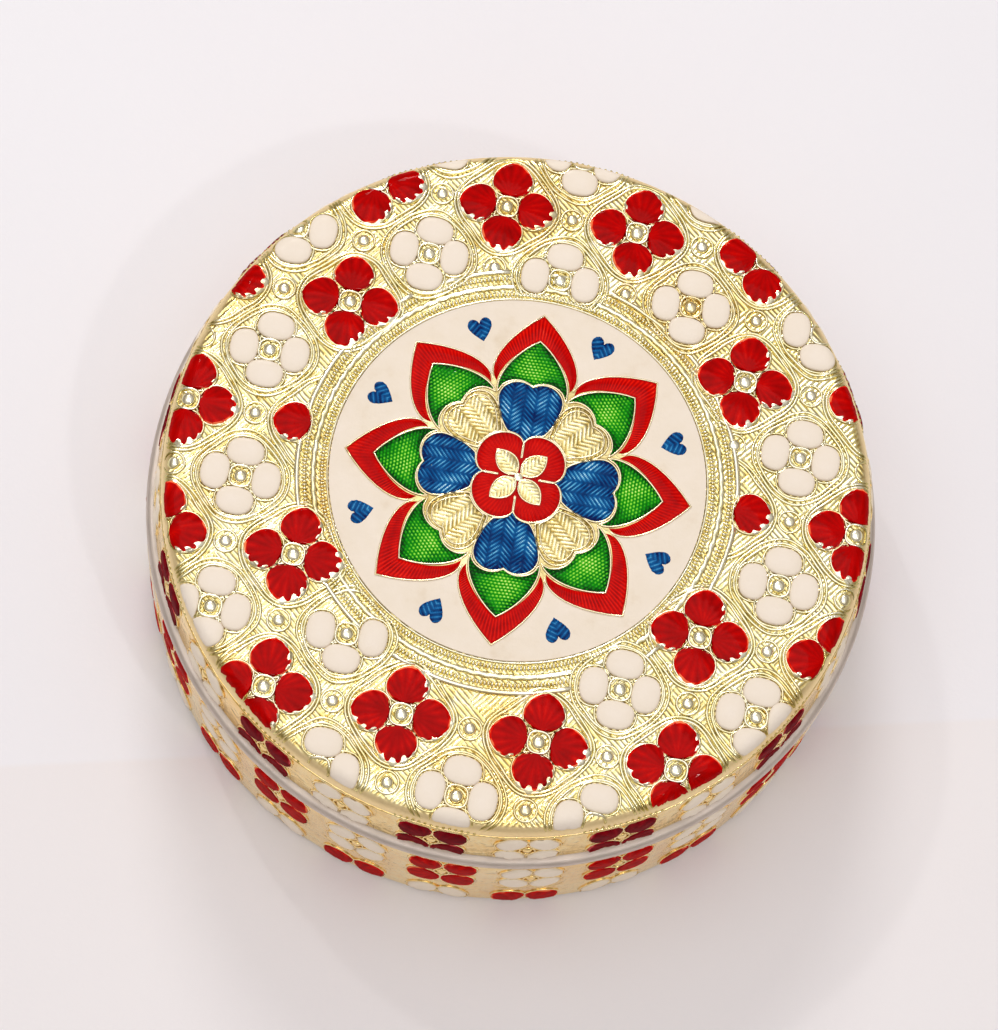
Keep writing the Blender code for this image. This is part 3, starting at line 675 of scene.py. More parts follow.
for name, loops, radius in (("petal_wires_lid", petal_wires, 0.00013),
                            ("flower_wires_lid", flower_wires, 0.00018),
                            ("bead_wires_lid", bead_wires, 0.00015)):
    wires = tubes(name, loops, radius, gilt_ridge, "lid")
    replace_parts(wires, "lid_top_sheet")


# Beads: small round domes stamped in the sheet, one in the middle of each flower and one on each
# free crossing.

BEAD_LIMIT = 0.0008            # past the flat of the sheet
BEAD_UNDER = 0.0001            # how far a bead's lower half reaches into the sheet

bm = bmesh.new()
spots = [(x, y, 0.056, 0.00048) for kind, x, y, grown in flowers if has_bead(x, y, grown)]
spots += [(x, y, 0.050, 0.00042) for x, y in beads]
for x, y, size, rise in spots:
    if hypot(x, y) > FLAT_REACH + BEAD_LIMIT:
        continue
    for vert in bmesh.ops.create_uvsphere(bm, u_segments=12, v_segments=8, radius=1.0)["verts"]:
        u, v, w = vert.co
        vert.co = on_sheet(x + u * size * STEP, y + v * size * STEP, w * (rise if w > 0 else BEAD_UNDER))
top_beads = shown("beads_lid", bm, gilt_ridge, "lid", 80.0)
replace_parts(top_beads, "lid_top_sheet")


# Red petals: translucent enamel pooled over stamped shells, whose ribs fan out from the flower's
# middle. The enamel is thin and bright on the ribs and at the edge, and deep and dark between them.

PETAL_CREST = 0.00054
SUNK = 0.00006                 # how far the edges of enamel reach into the sheet
FAN_SPREAD = 84                # ribs run this many degrees to both sides of the petal's axis
LIT_FROM = Vector((0.64, -0.77, 0.0))


def make_enamel(name, hollow, middle, ridge, thin_and_glint, gloss=0.05):
    """Glassy enamel whose depth follows the piece's crest attribute: deep in the hollows, thin at 1. The
    crest also carries painted shade along wires, and the top colour is partly a painted glint.
    """
    made, tree, shader, place = new_finish(name)
    depth = node(tree, "ShaderNodeAttribute", attribute_name="crest").outputs["Fac"]
    cloud = spread(tree, grain(tree, place, 700.0, 3.0, 0.6), -0.22, 0.22)
    tone = node(tree, "ShaderNodeMath", [(0, depth), (1, cloud)], operation="ADD").outputs[0]
    colour = shades(tree, tone, (0.10, hollow), (0.48, middle), (0.82, ridge), (1.0, thin_and_glint))
    tree.links.new(colour, shader.inputs["Base Color"])
    tree.links.new(emboss(tree, grain(tree, place, 1300.0, 2.0), 0.00006, 0.7), shader.inputs["Normal"])
    fixed(shader, roughness=0.5, specular_ior_level=0.0)
    fixed(shader, coat_weight=0.085, coat_roughness=gloss, coat_ior=1.6)
    return made


red_enamel = make_enamel("red enamel", (0.20, 0.0, 0.0), (0.52, 0.0, 0.0), (0.86, 0.008, 0.001),
                         (1.0, 0.24, 0.09))


def grid_of(bm, rows, columns):
    """Adds a grid, and gives each point with its row and its column."""
    verts = bmesh.ops.create_grid(bm, x_segments=rows, y_segments=columns, size=1.0)["verts"]
    return [(vert, round((vert.co.x + 1) / 2 * rows), round((vert.co.y + 1) / 2 * columns)) for vert in verts]


def on_shell(rib, ribs, share):
    """A point of a petal, in steps along and across it, on one of its ribs or between two."""
    bend = radians(-FAN_SPREAD + 2 * FAN_SPREAD * rib / (2 * ribs))
    reach = shell_reach(bend) * share
    return SHELL_FOOT + reach * cos(bend), reach * sin(bend)


def add_fan(bm, ribs, rows, top, place):
    """Adds the bare ribs of the stamped shell that stand out past a petal's enamel. rows holds, for each
    row, its share of the petal's reach, its height and how far its ribs stand out."""
    middle = place(PETAL_MIDDLE, 0.0, 0.0)
    for vert, row, rib in grid_of(bm, len(rows) - 1, 2 * ribs):
        share, high, deep = rows[row]
        u, v = on_shell(rib, ribs, share)
        spot = place(u, v, 0.0)
        bare = (spot - middle).normalized().dot(LIT_FROM)
        bare = max(0.0, min(1.0, 0.35 + 0.75 * bare + 1.1 * noise.noise(spot * 420)))
        rise = top * (high * (0.35 + 0.70 * bare) + (deep if rib % 2 else -deep) * bare)
        if rib in (0, 2 * ribs) or high < 0:
            rise = -SUNK
        vert.co = place(u, v, rise)


def add_shell(bm, crest, ribs, rows, top, place):
    """Adds one ribbed petal. place takes steps along and across the petal and a rise in metres."""
    for vert, row, rib in grid_of(bm, len(rows) - 1, 2 * ribs):
        share = rows[row]
        u, v = on_shell(rib, ribs, share)
        off = min(1.0, hypot(u - PETAL_MIDDLE, v) / 0.142)
        high = 1.0 if rib % 2 else -1.0
        rib_rise = high * top * 0.09 * min(1.0, share * 1.2) * min(1.0, 4 * (1.02 - share))
        rise = top * (0.66 + 0.24 * (1 - off ** 2)) + rib_rise
        pool = noise.noise(place(u, v, 0.0) * 650)
        vert[crest] = 0.40 + 0.16 * pool + high * (0.13 + 0.10 * pool) * share
        if share > 0.97:
            vert[crest] += 0.32 + 0.8 * pool
        if share > 1.0:
            rise = top * 0.34
        if share > 1.055 or rib in (0, 2 * ribs):
            rise = -SUNK
        vert.co = place(u, v, rise)


def close_under(bm):
    """Closes the underside of every open petal."""
    bmesh.ops.remove_doubles(bm, verts=bm.verts[:], dist=1e-7)
    bmesh.ops.holes_fill(bm, edges=open_edges(bm), sides=0)


def lay_on_sheet(x, y, turn):
    """Takes a petal's own steps and a rise to the lid's sheet."""
    def lay(u, v, rise):
        return on_sheet(*spun(u, v, x, y, turn), rise)
    return lay


SHELL_ROWS = (0.0, 0.25, 0.5, 0.72, 0.87, 0.96, 1.0, 1.045, 1.06)
FAN_ROWS = ((0.74, 0.30, 0.0), (0.84, 0.52, 0.14), (0.93, 0.66, 0.26), (1.00, 0.66, 0.30),
            (1.05, 0.52, 0.30), (1.10, 0.34, 0.24), (1.14, 0.16, 0.10), (1.16, -1.0, 0.0))

bm = bmesh.new()
crest = bm.verts.layers.float.new("crest")
fans = bmesh.new()
for kind, x, y, grown in flowers:
    if kind != "red":
        continue
    for turn in grown:
        add_shell(bm, crest, 9, SHELL_ROWS, PETAL_CREST, lay_on_sheet(x, y, turn))
        add_fan(fans, 9, FAN_ROWS, PETAL_CREST, lay_on_sheet(x, y, turn))
close_under(bm)
shown("red_petals_lid", bm, red_enamel, "lid", 60.0)
close_under(fans)
red_fans = shown("red_petal_ribs_lid", fans, gilt_ridge, "lid", 60.0)
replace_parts(red_fans, "lid_top_sheet")


# Cream petals: opaque enamel in smooth round pools, one to each stamped oval, which swell quickly
# from the edge and dried nearly flat.

POOL_CREST = 0.00056

cream_enamel = make_enamel("cream enamel", (0.73, 0.59, 0.42), (0.875, 0.77, 0.64), (0.91, 0.81, 0.70),
                           (0.93, 0.84, 0.74), 0.16)


def round_shape(around, up):
    """A ball of radius 1, to be pressed into beads and petals."""
    made = bmesh.new()
    bmesh.ops.create_uvsphere(made, u_segments=around, v_segments=up, radius=1.0)
    return as_mesh("ball", made)


def add_pool(bm, crest, ball, top, place):
    """Adds one petal that swells quickly from its edge and is nearly flat in the middle."""
    for vert in add_copy(bm, ball):
        x, y, z = vert.co
        vert[crest] = 0.30 + 0.5 * max(0.0, z)
        rise = top * (0.34 + 0.50 * z ** 0.7) if z > 1e-4 else -SUNK
        if abs(z) <= 1e-4:
            rise = top * 0.22
        u, v = oval_point(x, y) if hypot(x, y) > 1e-6 else (0.191, 0.0)
        vert.co = place(u, v, rise)


top_ball = round_shape(24, 12)
bm = bmesh.new()
crest = bm.verts.layers.float.new("crest")
for kind, x, y, grown in flowers:
    if kind != "cream":
        continue
    for turn in grown:
        add_pool(bm, crest, top_ball, POOL_CREST, lay_on_sheet(x, y, turn))
shown("cream_petals_lid", bm, cream_enamel, "lid", 60.0)


# Rings round the medallion: two milled bands with a twisted rope between them and plain wires at
# the edges, all stamped in the sheet. The flowers that reach over them interrupt them.

# Each ring's middle, width and height, its steps round and across, its bars or strands, and how deep
# the gaps between its bars are. Middles and widths are in grid steps.
INNER_WIRE = (1.398, 0.020, 0.00034, 240, 6, 0, 0.0)
INNER_MILLING = (1.436, 0.054, 0.00042, 2040, 6, 340, 0.74)
ROPE = (1.500, 0.054, 0.00026, 1128, 8, 94, 0.0)
OUTER_MILLING = (1.563, 0.054, 0.00040, 2160, 6, 360, 0.74)
OUTER_WIRE = (1.618, 0.044, 0.00034, 240, 8, 0, 0.0)
RINGS = (INNER_WIRE, INNER_MILLING, ROPE, OUTER_MILLING, OUTER_WIRE)
PETAL_COVERS = 0.150           # how far round its middle a petal covers the rings
NEAR_RINGS = 1.85
COVERED = 0.0002               # how far a covered stretch of a ring is sunk

near_petals = [spot for spot in petals if ring_reach(*spot) < NEAR_RINGS]


def under_flower(x, y):
    """Whether a petal covers this point of the sheet."""
    return any(hypot(x - px, y - py) < PETAL_COVERS * STEP for px, py in near_petals)


bm = bmesh.new()
for middle, width, height, steps, sides, count, depth in RINGS:
    band = bmesh.new()
    turned(band, [(middle + width / 2 * cos(bend), sin(bend)) for bend in angles_of(sides)], steps)
    for vert in band.verts:
        angle = atan2(vert.co.y, vert.co.x)
        reach = hypot(vert.co.x, vert.co.y)
        side = atan2(vert.co.z, (reach - middle) / (width / 2))
        fat = 1.0
        if count and depth:
            fat = 1.0 - depth * (0.5 - 0.5 * cos(angle * count)) ** 2
        elif count:
            fat = 0.90 + 0.10 * cos(2 * side - angle * count)
        out = middle + (reach - middle) * fat
        x = RING_X + out * STEP * cos(angle)
        y = RING_Y + out * STEP * sin(angle)
        rise = height * vert.co.z * fat
        if under_flower(x, y):
            rise = min(rise, 0.0) - COVERED
        vert.co = (x, y, FIELD + rise)
    data = as_mesh("band", band)
    bm.from_mesh(data)
    bpy.data.meshes.remove(data)
ring_bands = shown("medallion_rings", bm, gilt_ridge, "lid", 80.0)
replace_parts(ring_bands, "lid_top_sheet")


# Ivory ground: one pool of opaque enamel, poured on the sheet inside the rings and round the lotus.
# It is smooth but not flat, as it flows.

IVORY_TOP = 0.00030
IVORY_LOW = 0.00006
IVORY_REACH = 1.386
IVORY_TONE = 0.55
MEDALLION_TURN = radians(2.0)


def in_medallion(x, y, rise):
    """From grid steps about the medallion's centre to the lid, where it was stamped two degrees off."""
    along = (x * cos(MEDALLION_TURN) - y * sin(MEDALLION_TURN)) * STEP
    across = (x * sin(MEDALLION_TURN) + y * cos(MEDALLION_TURN)) * STEP
    return Vector((RING_X + along, RING_Y + across, FIELD + rise))


ivory_level = FIELD + IVORY_TOP
bm = bmesh.new()
ground = [(0.0, FIELD + IVORY_LOW), (1.380 * STEP, FIELD + IVORY_LOW), (IVORY_REACH * STEP, FIELD + 0.00012)]
ground += [(1.384 * STEP, ivory_level + 0.00004), (1.370 * STEP, ivory_level + 0.00001)]
ground += [(1.36 * STEP * (1 - k / 60), ivory_level) for k in range(60)]
ground += [(0.0, ivory_level)]
turned(bm, ground, 220)
crest = bm.verts.layers.float.new("crest")
for vert in bm.verts:
    vert[crest] = IVORY_TONE
    if vert.co.z > FIELD + 0.0002:
        flow = noise.noise(vert.co * 330) + 0.5 * noise.noise(vert.co * 900)
        vert.co.z += 0.000016 * flow
        vert[crest] = IVORY_TONE + 0.2 * flow
    vert.co.x += RING_X
    vert.co.y += RING_Y
ivory = shown("ivory_ground_poured", bm, cream_enamel, "lid")
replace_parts(ivory, "enamel_ivory_ground")


# Lotus: a low gilt plate with a wire round every cell, eight petals round four blue hearts, four
# gilt hearts, a rosette and a star, all stamped in the same sheet.

# Places in grid steps from the medallion's centre, along a petal's axis and across it
LOTUS_VALLEY = (0.725, 0.297)
LOTUS_TIP = (1.284, 0.0)
GREEN_NOTCH = (0.716, 0.0)
GREEN_LOBE = (0.634, 0.250)
GREEN_TIP = (1.066, 0.0)
BLUE_POINT = (0.270, 0.0)
BLUE_LOBE = (0.572, 0.233)
BLUE_NOTCH = (0.698, 0.0)
GILT_POINT = (0.345, 0.0)
GILT_LOBE = (0.590, 0.212)
GILT_NOTCH = (0.694, 0.0)
LEAF_POINT = (0.026, 0.0)
LEAF_TIP = (0.262, 0.0)
ROSETTE_GAP = 0.012
NOTCH_DEPTH = 0.11             # the cut between two lobes of the rosette
NOTCH_HALF = 0.004
EIGHTHS = [k * pi / 4 for k in range(8)]
QUARTERS = [k * pi / 2 for k in range(4)]
DIAGONALS = [k * pi / 2 + pi / 4 for k in range(4)]


def bezier(start, lead, trail, end, steps):
    points = []
    for k in range(steps):
        t = k / steps
        mix = ((1 - t) ** 3, 3 * (1 - t) ** 2 * t, 3 * (1 - t) * t * t, t ** 3)
        points.append(tuple(sum(m * p[n] for m, p in zip(mix, (start, lead, trail, end))) for n in (0, 1)))
    return points


def both_sides(half):
    """Closes a half outline that runs from the axis to the axis."""
    return half + [(x, -y) for x, y in reversed(half) if abs(y) > 1e-9]


def swung(points, angle):
    return [(x * cos(angle) - y * sin(angle), x * sin(angle) + y * cos(angle)) for x, y in points]


def lotus_edge():
    side = bezier(LOTUS_VALLEY, (0.835, 0.352), (1.040, 0.287), LOTUS_TIP, 10)
    petal = [(x, -y) for x, y in side] + [LOTUS_TIP] + [(x, y) for x, y in reversed(side[1:])]
    points = []
    for angle in angles_of(8):
        points += swung(petal, angle)
    return points


def widened(points, by):
    """Moves a closed outline outwards by grid steps."""
    moved = []
    for k, (x, y) in enumerate(points):
        ahead = points[(k + 1) % len(points)]
        behind = points[k - 1]
        along = (ahead[0] - behind[0], ahead[1] - behind[1])
        away = by / max(hypot(*along), 1e-9)
        moved.append((x - along[1] * away, y + along[0] * away))
    return moved


def rosette_reach(angle):
    return 0.262 + 0.116 * abs(sin(2 * angle)) ** 0.6


def past_rosette(points, angle):
    """Cuts an outline, which lies at an angle to the rosette's, off along the rosette's edge."""
    cut = []
    for x, y in points:
        bearing = atan2(y, x)
        share = max(1.0, (rosette_reach(bearing + angle) + ROSETTE_GAP) / hypot(x, y))
        cut.append((x * share, y * share))
    return cut


def green_edge():
    lobe = bezier(GREEN_NOTCH, (0.798, 0.112), (0.716, 0.258), GREEN_LOBE, 10)
    side = bezier(GREEN_LOBE, (0.760, 0.276), (0.938, 0.178), GREEN_TIP, 12)
    return both_sides(lobe + side + [GREEN_TIP])


def heart_edge():
    side = bezier(BLUE_POINT, (0.280, 0.115), (0.420, 0.205), BLUE_LOBE, 14)
    lobe = bezier(BLUE_LOBE, (0.690, 0.256), (0.778, 0.110), BLUE_NOTCH, 10)
    return past_rosette(both_sides(side + lobe + [BLUE_NOTCH]), 0.0)


def gilt_heart_edge(share=1.0):
    """A gilt heart, or a smaller one inside it."""
    foot = [GILT_POINT, (0.348, 0.035), (0.350, 0.070)]
    side = bezier((0.352, 0.104), (0.430, 0.150), (0.490, 0.205), GILT_LOBE, 10)
    lobe = bezier(GILT_LOBE, (0.700, 0.222), (0.770, 0.102), GILT_NOTCH, 10)
    whole = both_sides(foot + side + lobe + [GILT_NOTCH])
    return past_rosette([(0.56 + (x - 0.56) * share, y * share) for x, y in whole], pi / 4)


def rosette_edge():
    return [(rosette_reach(-a) * cos(-a), rosette_reach(-a) * sin(-a)) for a in angles_of(96)]


def star_edge():
    side = bezier(LEAF_POINT, (0.075, 0.095), (0.175, 0.105), LEAF_TIP, 10)
    return both_sides(side + [LEAF_TIP])


def round_wires(edge, rise, angles):
    """Loops of wire along an outline, one at each angle."""
    return [[in_medallion(x, y, rise) for x, y in swung(edge, angle)] for angle in angles]


# Painted light for the gilt cells: their crest paints a highlight on what stands up and olive shade below.
def height_of_crest(tree, place):
    return node(tree, "ShaderNodeAttribute", attribute_name="crest").outputs["Fac"]


gilt_lines = make_gilt("gilt sheet, stamped lines", height_of_crest, (0.36, 0.25, 0.06), (0.76, 0.65, 0.33),
                       (0.98, 0.90, 0.66))
gilt_wire = make_gilt("gilt sheet, lotus wires", height_on_lid, (0.55, 0.40, 0.12), (0.84, 0.68, 0.34),
                      (0.97, 0.86, 0.58))
bm = bmesh.new()
crest = bm.verts.layers.float.new("crest")
plate = [bm.verts.new(in_medallion(x, y, IVORY_TOP - 0.00010)) for x, y in lotus_edge()]
bm.faces.new(plate)
risen = bmesh.ops.extrude_face_region(bm, geom=bm.faces[:])["geom"]
risen_verts = [part for part in risen if isinstance(part, bmesh.types.BMVert)]
bmesh.ops.translate(bm, verts=risen_verts, vec=(0.0, 0.0, 0.00013))
bmesh.ops.triangulate(bm, faces=bm.faces[:])
# Painted shade: the plate shows only between the cells, and its low crest paints it olive.
for vert in bm.verts:
    vert[crest] = 0.16
lotus_plate = shown("lotus_plate", bm, gilt_lines, "lid", 30.0)
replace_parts(lotus_plate, "lid_top_sheet")

notch_top = rosette_reach(0.0)
notch = [(notch_top - NOTCH_DEPTH * n / 4, NOTCH_HALF) for n in range(5)]
notch += [(notch_top - NOTCH_DEPTH + NOTCH_DEPTH * n / 4, -NOTCH_HALF) for n in range(5)]
rim_wires = round_wires(lotus_edge(), 0.00037, [0.0])
rim_wires += round_wires(gilt_heart_edge(0.86), 0.00044, DIAGONALS)
rim_wires += round_wires(notch, 0.00042, QUARTERS)
cell_wires = round_wires(widened(green_edge(), 0.006), 0.00041, EIGHTHS)
cell_wires += round_wires(widened(heart_edge(), 0.006), 0.00042, QUARTERS)
cell_wires += round_wires(widened(gilt_heart_edge(), 0.004), 0.00042, DIAGONALS)
cell_wires += round_wires(rosette_edge(), 0.00043, [0.0])
cell_wires += round_wires(star_edge(), 0.00046, DIAGONALS)
rims = tubes("lotus_rims", rim_wires, 0.00009, gilt_wire, "lid")
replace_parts(rims, "lid_top_sheet")
lotus_wires = tubes("lotus_wires", cell_wires, 0.00011, gilt_wire, "lid")
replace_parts(lotus_wires, "lid_top_sheet")


# Red bands of the lotus: red enamel over close ribs that stand square to the petal's edge, one band
# round each of the eight petals.

BAND_STEPS = 28                # along one side of a petal
BAND_TIP = (1.274, 0.0)
BAND_INNER_TIP = (1.080, 0.0)
BAND_ROWS = (0.0, 0.001, 0.12, 0.5, 0.88, 0.999, 1.0)
BAND_FOOT = 0.00028


def band_side(*corners):
    """One edge of a red band, from the valley on one side over the tip to the valley on the other."""
    half = bezier(*corners, BAND_STEPS) + [corners[-1]]
    return [(x, -y) for x, y in half] + list(reversed(half))[1:]


def between(points, place):
    """A point of a line of points, at a place counted in half steps."""
    low, rest = divmod(place, 2)
    start = points[low]
    end = points[min(low + 1, len(points) - 1)]
    return start[0] + (end[0] - start[0]) * rest / 2, start[1] + (end[1] - start[1]) * rest / 2


def make_red_band(name, angle):
    made = bmesh.new()
    crest = made.verts.layers.float.new("crest")
    outer = band_side((0.738, 0.291), (0.838, 0.343), (1.036, 0.280), BAND_TIP)
    inner = band_side((0.708, 0.270), (0.806, 0.274), (0.950, 0.182), BAND_INNER_TIP)
    steps = 4 * BAND_STEPS
    for vert, row, along in grid_of(made, len(BAND_ROWS) - 1, steps):
        share = BAND_ROWS[row]
        ox, oy = between(outer, along)
        ix, iy = between(inner, along)
        x = ix + (ox - ix) * share
        y = iy + (oy - iy) * share
        high = 1.0 if along % 2 else -1.0
        edge = 1 - abs(2 * share - 1) ** 4
        rise = 0.00037 + 0.00005 * edge + high * 0.000035 * edge
        if share in (0.0, 1.0) or along in (0, steps):
            rise = BAND_FOOT
        cloud = noise.noise(Vector((x * 4, y * 4, angle * 3)))
        vert[crest] = 0.40 + 0.10 * cloud + high * (0.20 + 0.26 * cloud) * edge + 0.04 * edge
        if share in (0.12, 0.88):
            vert[crest] += 0.16
        x, y = swung([(x, y)], angle)[0]
        vert.co = in_medallion(x, y, rise)
    close_under(made)
    return shown(name, made, red_enamel, "lid", 60.0)


for number, angle in enumerate(EIGHTHS, 1):
    band = make_red_band("red_band_" + str(number), angle)
    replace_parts(band, "enamel_red_petal_" + str(number))


# Green hearts of the lotus, blue hearts, gilt hearts and the rosette: each a cell cut on a fine
# grid, so that its stamped scales, herringbone or ribs show through the enamel.

CELL_LOW = 0.00018
CELL_DIP = 0.00005             # the enamel lies this much lower along its wire


def make_cell(name, outline, pitch, relief, low, finish, angles):
    """Fills an outline with a fine patterned surface. relief gives a rise and a crest at each point."""
    made = bmesh.new()
    crest = made.verts.layers.float.new("crest")
    ring = [made.verts.new((x, y, 0.0)) for x, y in outline]
    for k in range(len(ring)):
        made.edges.new((ring[k], ring[(k + 1) % len(ring)]))
    bmesh.ops.triangle_fill(made, edges=made.edges[:], use_beauty=True, normal=(0, 0, 1))
    for axis in (0, 1):
        ends = [point[axis] for point in outline]
        for k in range(1, int((max(ends) - min(ends)) / pitch) + 1):
            spot = [0.0, 0.0, 0.0]
            way = [0.0, 0.0, 0.0]
            spot[axis] = min(ends) + k * pitch
            way[axis] = 1.0
            whole = made.verts[:] + made.edges[:] + made.faces[:]
            bmesh.ops.bisect_plane(made, geom=whole, plane_co=spot, plane_no=way, dist=1e-5)
    rims = open_edges(made)
    rim_verts = {vert for edge in rims for vert in edge.verts}
    for vert in made.verts:
        rise, shine = relief(vert.co.x, vert.co.y)
        if vert in rim_verts:
            rise -= CELL_DIP
        vert[crest] = shine
        vert.co.z = rise
    skirt = bmesh.ops.extrude_edge_only(made, edges=rims)["geom"]
    for part in skirt:
        if isinstance(part, bmesh.types.BMVert):
            part.co.z = low
    bmesh.ops.holes_fill(made, edges=open_edges(made), sides=0)
    data = as_mesh(name, made)
    pieces = []
    for number, angle in enumerate(angles, 1):
        copy = bmesh.new()
        copy.from_mesh(data)
        for vert in copy.verts:
            x, y = swung([(vert.co.x, vert.co.y)], angle)[0]
            vert.co = in_medallion(x, y, vert.co.z)
        pieces.append(shown(name + "_" + str(number), copy, finish, "lid", 60.0))
    bpy.data.meshes.remove(data)
    return pieces


def shade_at(x, y, edge, reach):
    """1 at an outline and 0 beyond a reach from it."""
    near = min(hypot(x - ex, y - ey) for ex, ey in edge)
    return max(0.0, 1 - near / reach)


def scales(x, y):
    """Staggered fish scales, in rows across the petal, each lighter on its bump, from thinner enamel and
    a painted highlight, with painted shade along the wire.
    """
    sway = noise.noise(Vector((x * 6, y * 6, 0.0)))
    row = (x + 0.010 * sway) / 0.0245
    column = (y + 0.008 * sway) / 0.029 + 0.5 * (int(row) % 2)
    dx = row - int(row) - 0.5
    dy = column - round(column)
    bump = max(0.0, 1 - 3.2 * (1.5 * dx * dx + dy * dy)) ** 1.6
    glow = max(0.0, 1 - hypot(x - 0.80, y) / 0.17)
    # Painted shade along the wire.
    deep = shade_at(x, y, GREEN_EDGE, 0.045)
    # Each scale's bump is painted lighter, partly thinner enamel and partly a painted highlight.
    shine = 0.24 + (0.46 + 0.44 * glow + 0.40 * sway) * bump + 0.12 * glow - 0.30 * deep
    return 0.00036 + 0.00008 * bump, shine


def bars(x, y, width, pitch):
    """Short slanted bars in columns, turned the other way in every second column, rounded on top."""
    column = round(y / width)
    across = y / width - column
    lean, phase = (0.9, pi / 2) if column % 2 else (-0.9, 0.0)
    bar = max(0.0, cos(2 * pi * (x + lean * width * across) / pitch + phase)) ** 0.8
    return bar * (1 - min(1.0, abs(2 * across)) ** 5)


def herringbone(x, y):
    """The blue hearts' slanted bars, thinly covered in places, with painted glints on the bars and
    painted shade along the wire.
    """
    bar = bars(x, y, 0.088, 0.036)
    cloud = noise.noise(Vector((x * 7 + 3, y * 7, 2.0)))
    # Painted shade along the wire.
    deep = shade_at(x, y, BLUE_EDGE, 0.05)
    # The bright bars are painted glints.
    return 0.00036 + 0.00008 * bar, 0.24 + 0.18 * cloud + (0.60 + 0.55 * cloud) * bar ** 1.8 - 0.20 * deep


def gilt_bars(x, y):
    """The gilt hearts' slanted bars, on a surface that swells like a pillow. Their crest paints a highlight
    on the bars and the pillow's top, and shade between.
    """
    bar = bars(x, y, 0.084, 0.038)
    pillow = 1 - shade_at(x, y, GILT_EDGE, 0.09) ** 2
    return 0.00034 + 0.00007 * pillow + 0.00006 * bar, 0.50 * bar * pillow + 0.05 * pillow


def ribs_round(x, y):
    """The rosette's ribs, which fade towards its star."""
    wave = 0.5 + 0.5 * cos(atan2(y, x) * 72)
    fade = min(1.0, max(0.0, (hypot(x, y) - 0.16) / 0.08))
    # Painted shade along the wire.
    deep = shade_at(x, y, ROSE_EDGE, 0.05)
    return 0.00038 + 0.00006 * wave * fade, 0.44 + 0.24 * wave * fade - 0.22 * deep


# The top colours of the green and blue enamel are painted glints, pale yellow-green and near white.
green_enamel = make_enamel("green enamel", (0.0, 0.04, 0.002), (0.008, 0.36, 0.006), (0.28, 0.78, 0.04),
                           (0.80, 0.93, 0.30))
blue_enamel = make_enamel("blue enamel", (0.0, 0.009, 0.085), (0.005, 0.13, 0.385), (0.13, 0.52, 0.76),
                          (0.80, 0.94, 0.97))

GREEN_EDGE = green_edge()
BLUE_EDGE = heart_edge()
GILT_EDGE = gilt_heart_edge()
ROSE_EDGE = rosette_edge()
greens = make_cell("green_heart", GREEN_EDGE, 0.0072, scales, CELL_LOW, green_enamel, EIGHTHS)
for k in range(8):
    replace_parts(greens[k], "enamel_green_petal_" + str(k + 1))
blues = make_cell("blue_heart", BLUE_EDGE, 0.0085, herringbone, CELL_LOW, blue_enamel,
                  QUARTERS)
for k in range(4):
    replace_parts(blues[k], "enamel_blue_heart_" + str(k + 1))
gilts = make_cell("gilt_heart", GILT_EDGE, 0.0090, gilt_bars, CELL_LOW, gilt_lines, DIAGONALS)
for k in range(4):
    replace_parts(gilts[k], "lid_top_sheet")
rosette = make_cell("red_rosette", ROSE_EDGE, 0.011, ribs_round, CELL_LOW, red_enamel, [0.0])
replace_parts(rosette[0], "enamel_red_rosette")


# Star: four gilt leaves with slanted veins, and a bead in the middle, stamped in the sheet inside
# the rosette.

LEAF_HALF = 0.075
LEAF_LOW = 0.00020
STAR_BEAD = 0.034
STAR_BEAD_MIDDLE = 0.00044
STAR_BEAD_RISE = 0.00014


# Painted light: the leaves' crest paints a highlight on the veins and the dome, and shade between.
def veins(x, y):
    vein = bars(x, y - LEAF_HALF / 2, LEAF_HALF, 0.034)
    dome = max(0.0, 1 - (y / LEAF_HALF) ** 2)
    return 0.00043 + 0.00009 * dome + 0.00004 * vein, 0.08 + 0.34 * vein * dome + 0.10 * dome


leaves = make_cell("gilt_leaf", star_edge(), 0.0085, veins, LEAF_LOW, gilt_lines, DIAGONALS)
for k in range(4):
    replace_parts(leaves[k], "lid_top_sheet")
bm = bmesh.new()
for vert in bmesh.ops.create_uvsphere(bm, u_segments=16, v_segments=10, radius=1.0)["verts"]:
    rise = STAR_BEAD_MIDDLE + vert.co.z * STAR_BEAD_RISE
    vert.co = in_medallion(vert.co.x * STAR_BEAD, vert.co.y * STAR_BEAD, rise)
star = shown("gilt_star_bead", bm, gilt_ridge, "lid", 60.0)
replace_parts(star, "lid_top_sheet")


# Small hearts: blue enamel in little pressed hearts on the ivory, points to the middle, one between
# every two petals of the lotus.

SMALL_HEART_PLACE = 1.180
SMALL_LOBE = (0.048, 0.090)
SMALL_NOTCH = (0.050, 0.0)
SMALL_LOW = 0.00020


def small_heart_edge():
    side = bezier((-0.095, 0.0), (-0.045, 0.050), (0.008, 0.100), SMALL_LOBE, 7)
    lobe = bezier(SMALL_LOBE, (0.108, 0.076), (0.094, 0.015), SMALL_NOTCH, 6)
    return [(SMALL_HEART_PLACE + x, y) for x, y in both_sides(side + lobe + [SMALL_NOTCH])]


def heart_pool(x, y):
    bar = max(0.0, cos(2 * pi * (x + 0.8 * abs(y)) / 0.042))
    cloud = noise.noise(Vector((x * 12, y * 12, 5.0)))
    # Painted shade along the wire.
    deep = shade_at(x, y, HEART_EDGE, 0.03)
    return 0.00034 + 0.00003 * bar, 0.20 + 0.22 * cloud + 0.35 * bar - 0.15 * deep


HEART_EDGE = small_heart_edge()
between_petals = [(k + 0.5) * pi / 4 for k in range(8)]
smalls = make_cell("small_heart", HEART_EDGE, 0.010, heart_pool, SMALL_LOW, blue_enamel,
                   between_petals)
for k in range(8):
    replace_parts(smalls[k], "enamel_small_heart_" + str(k + 1))


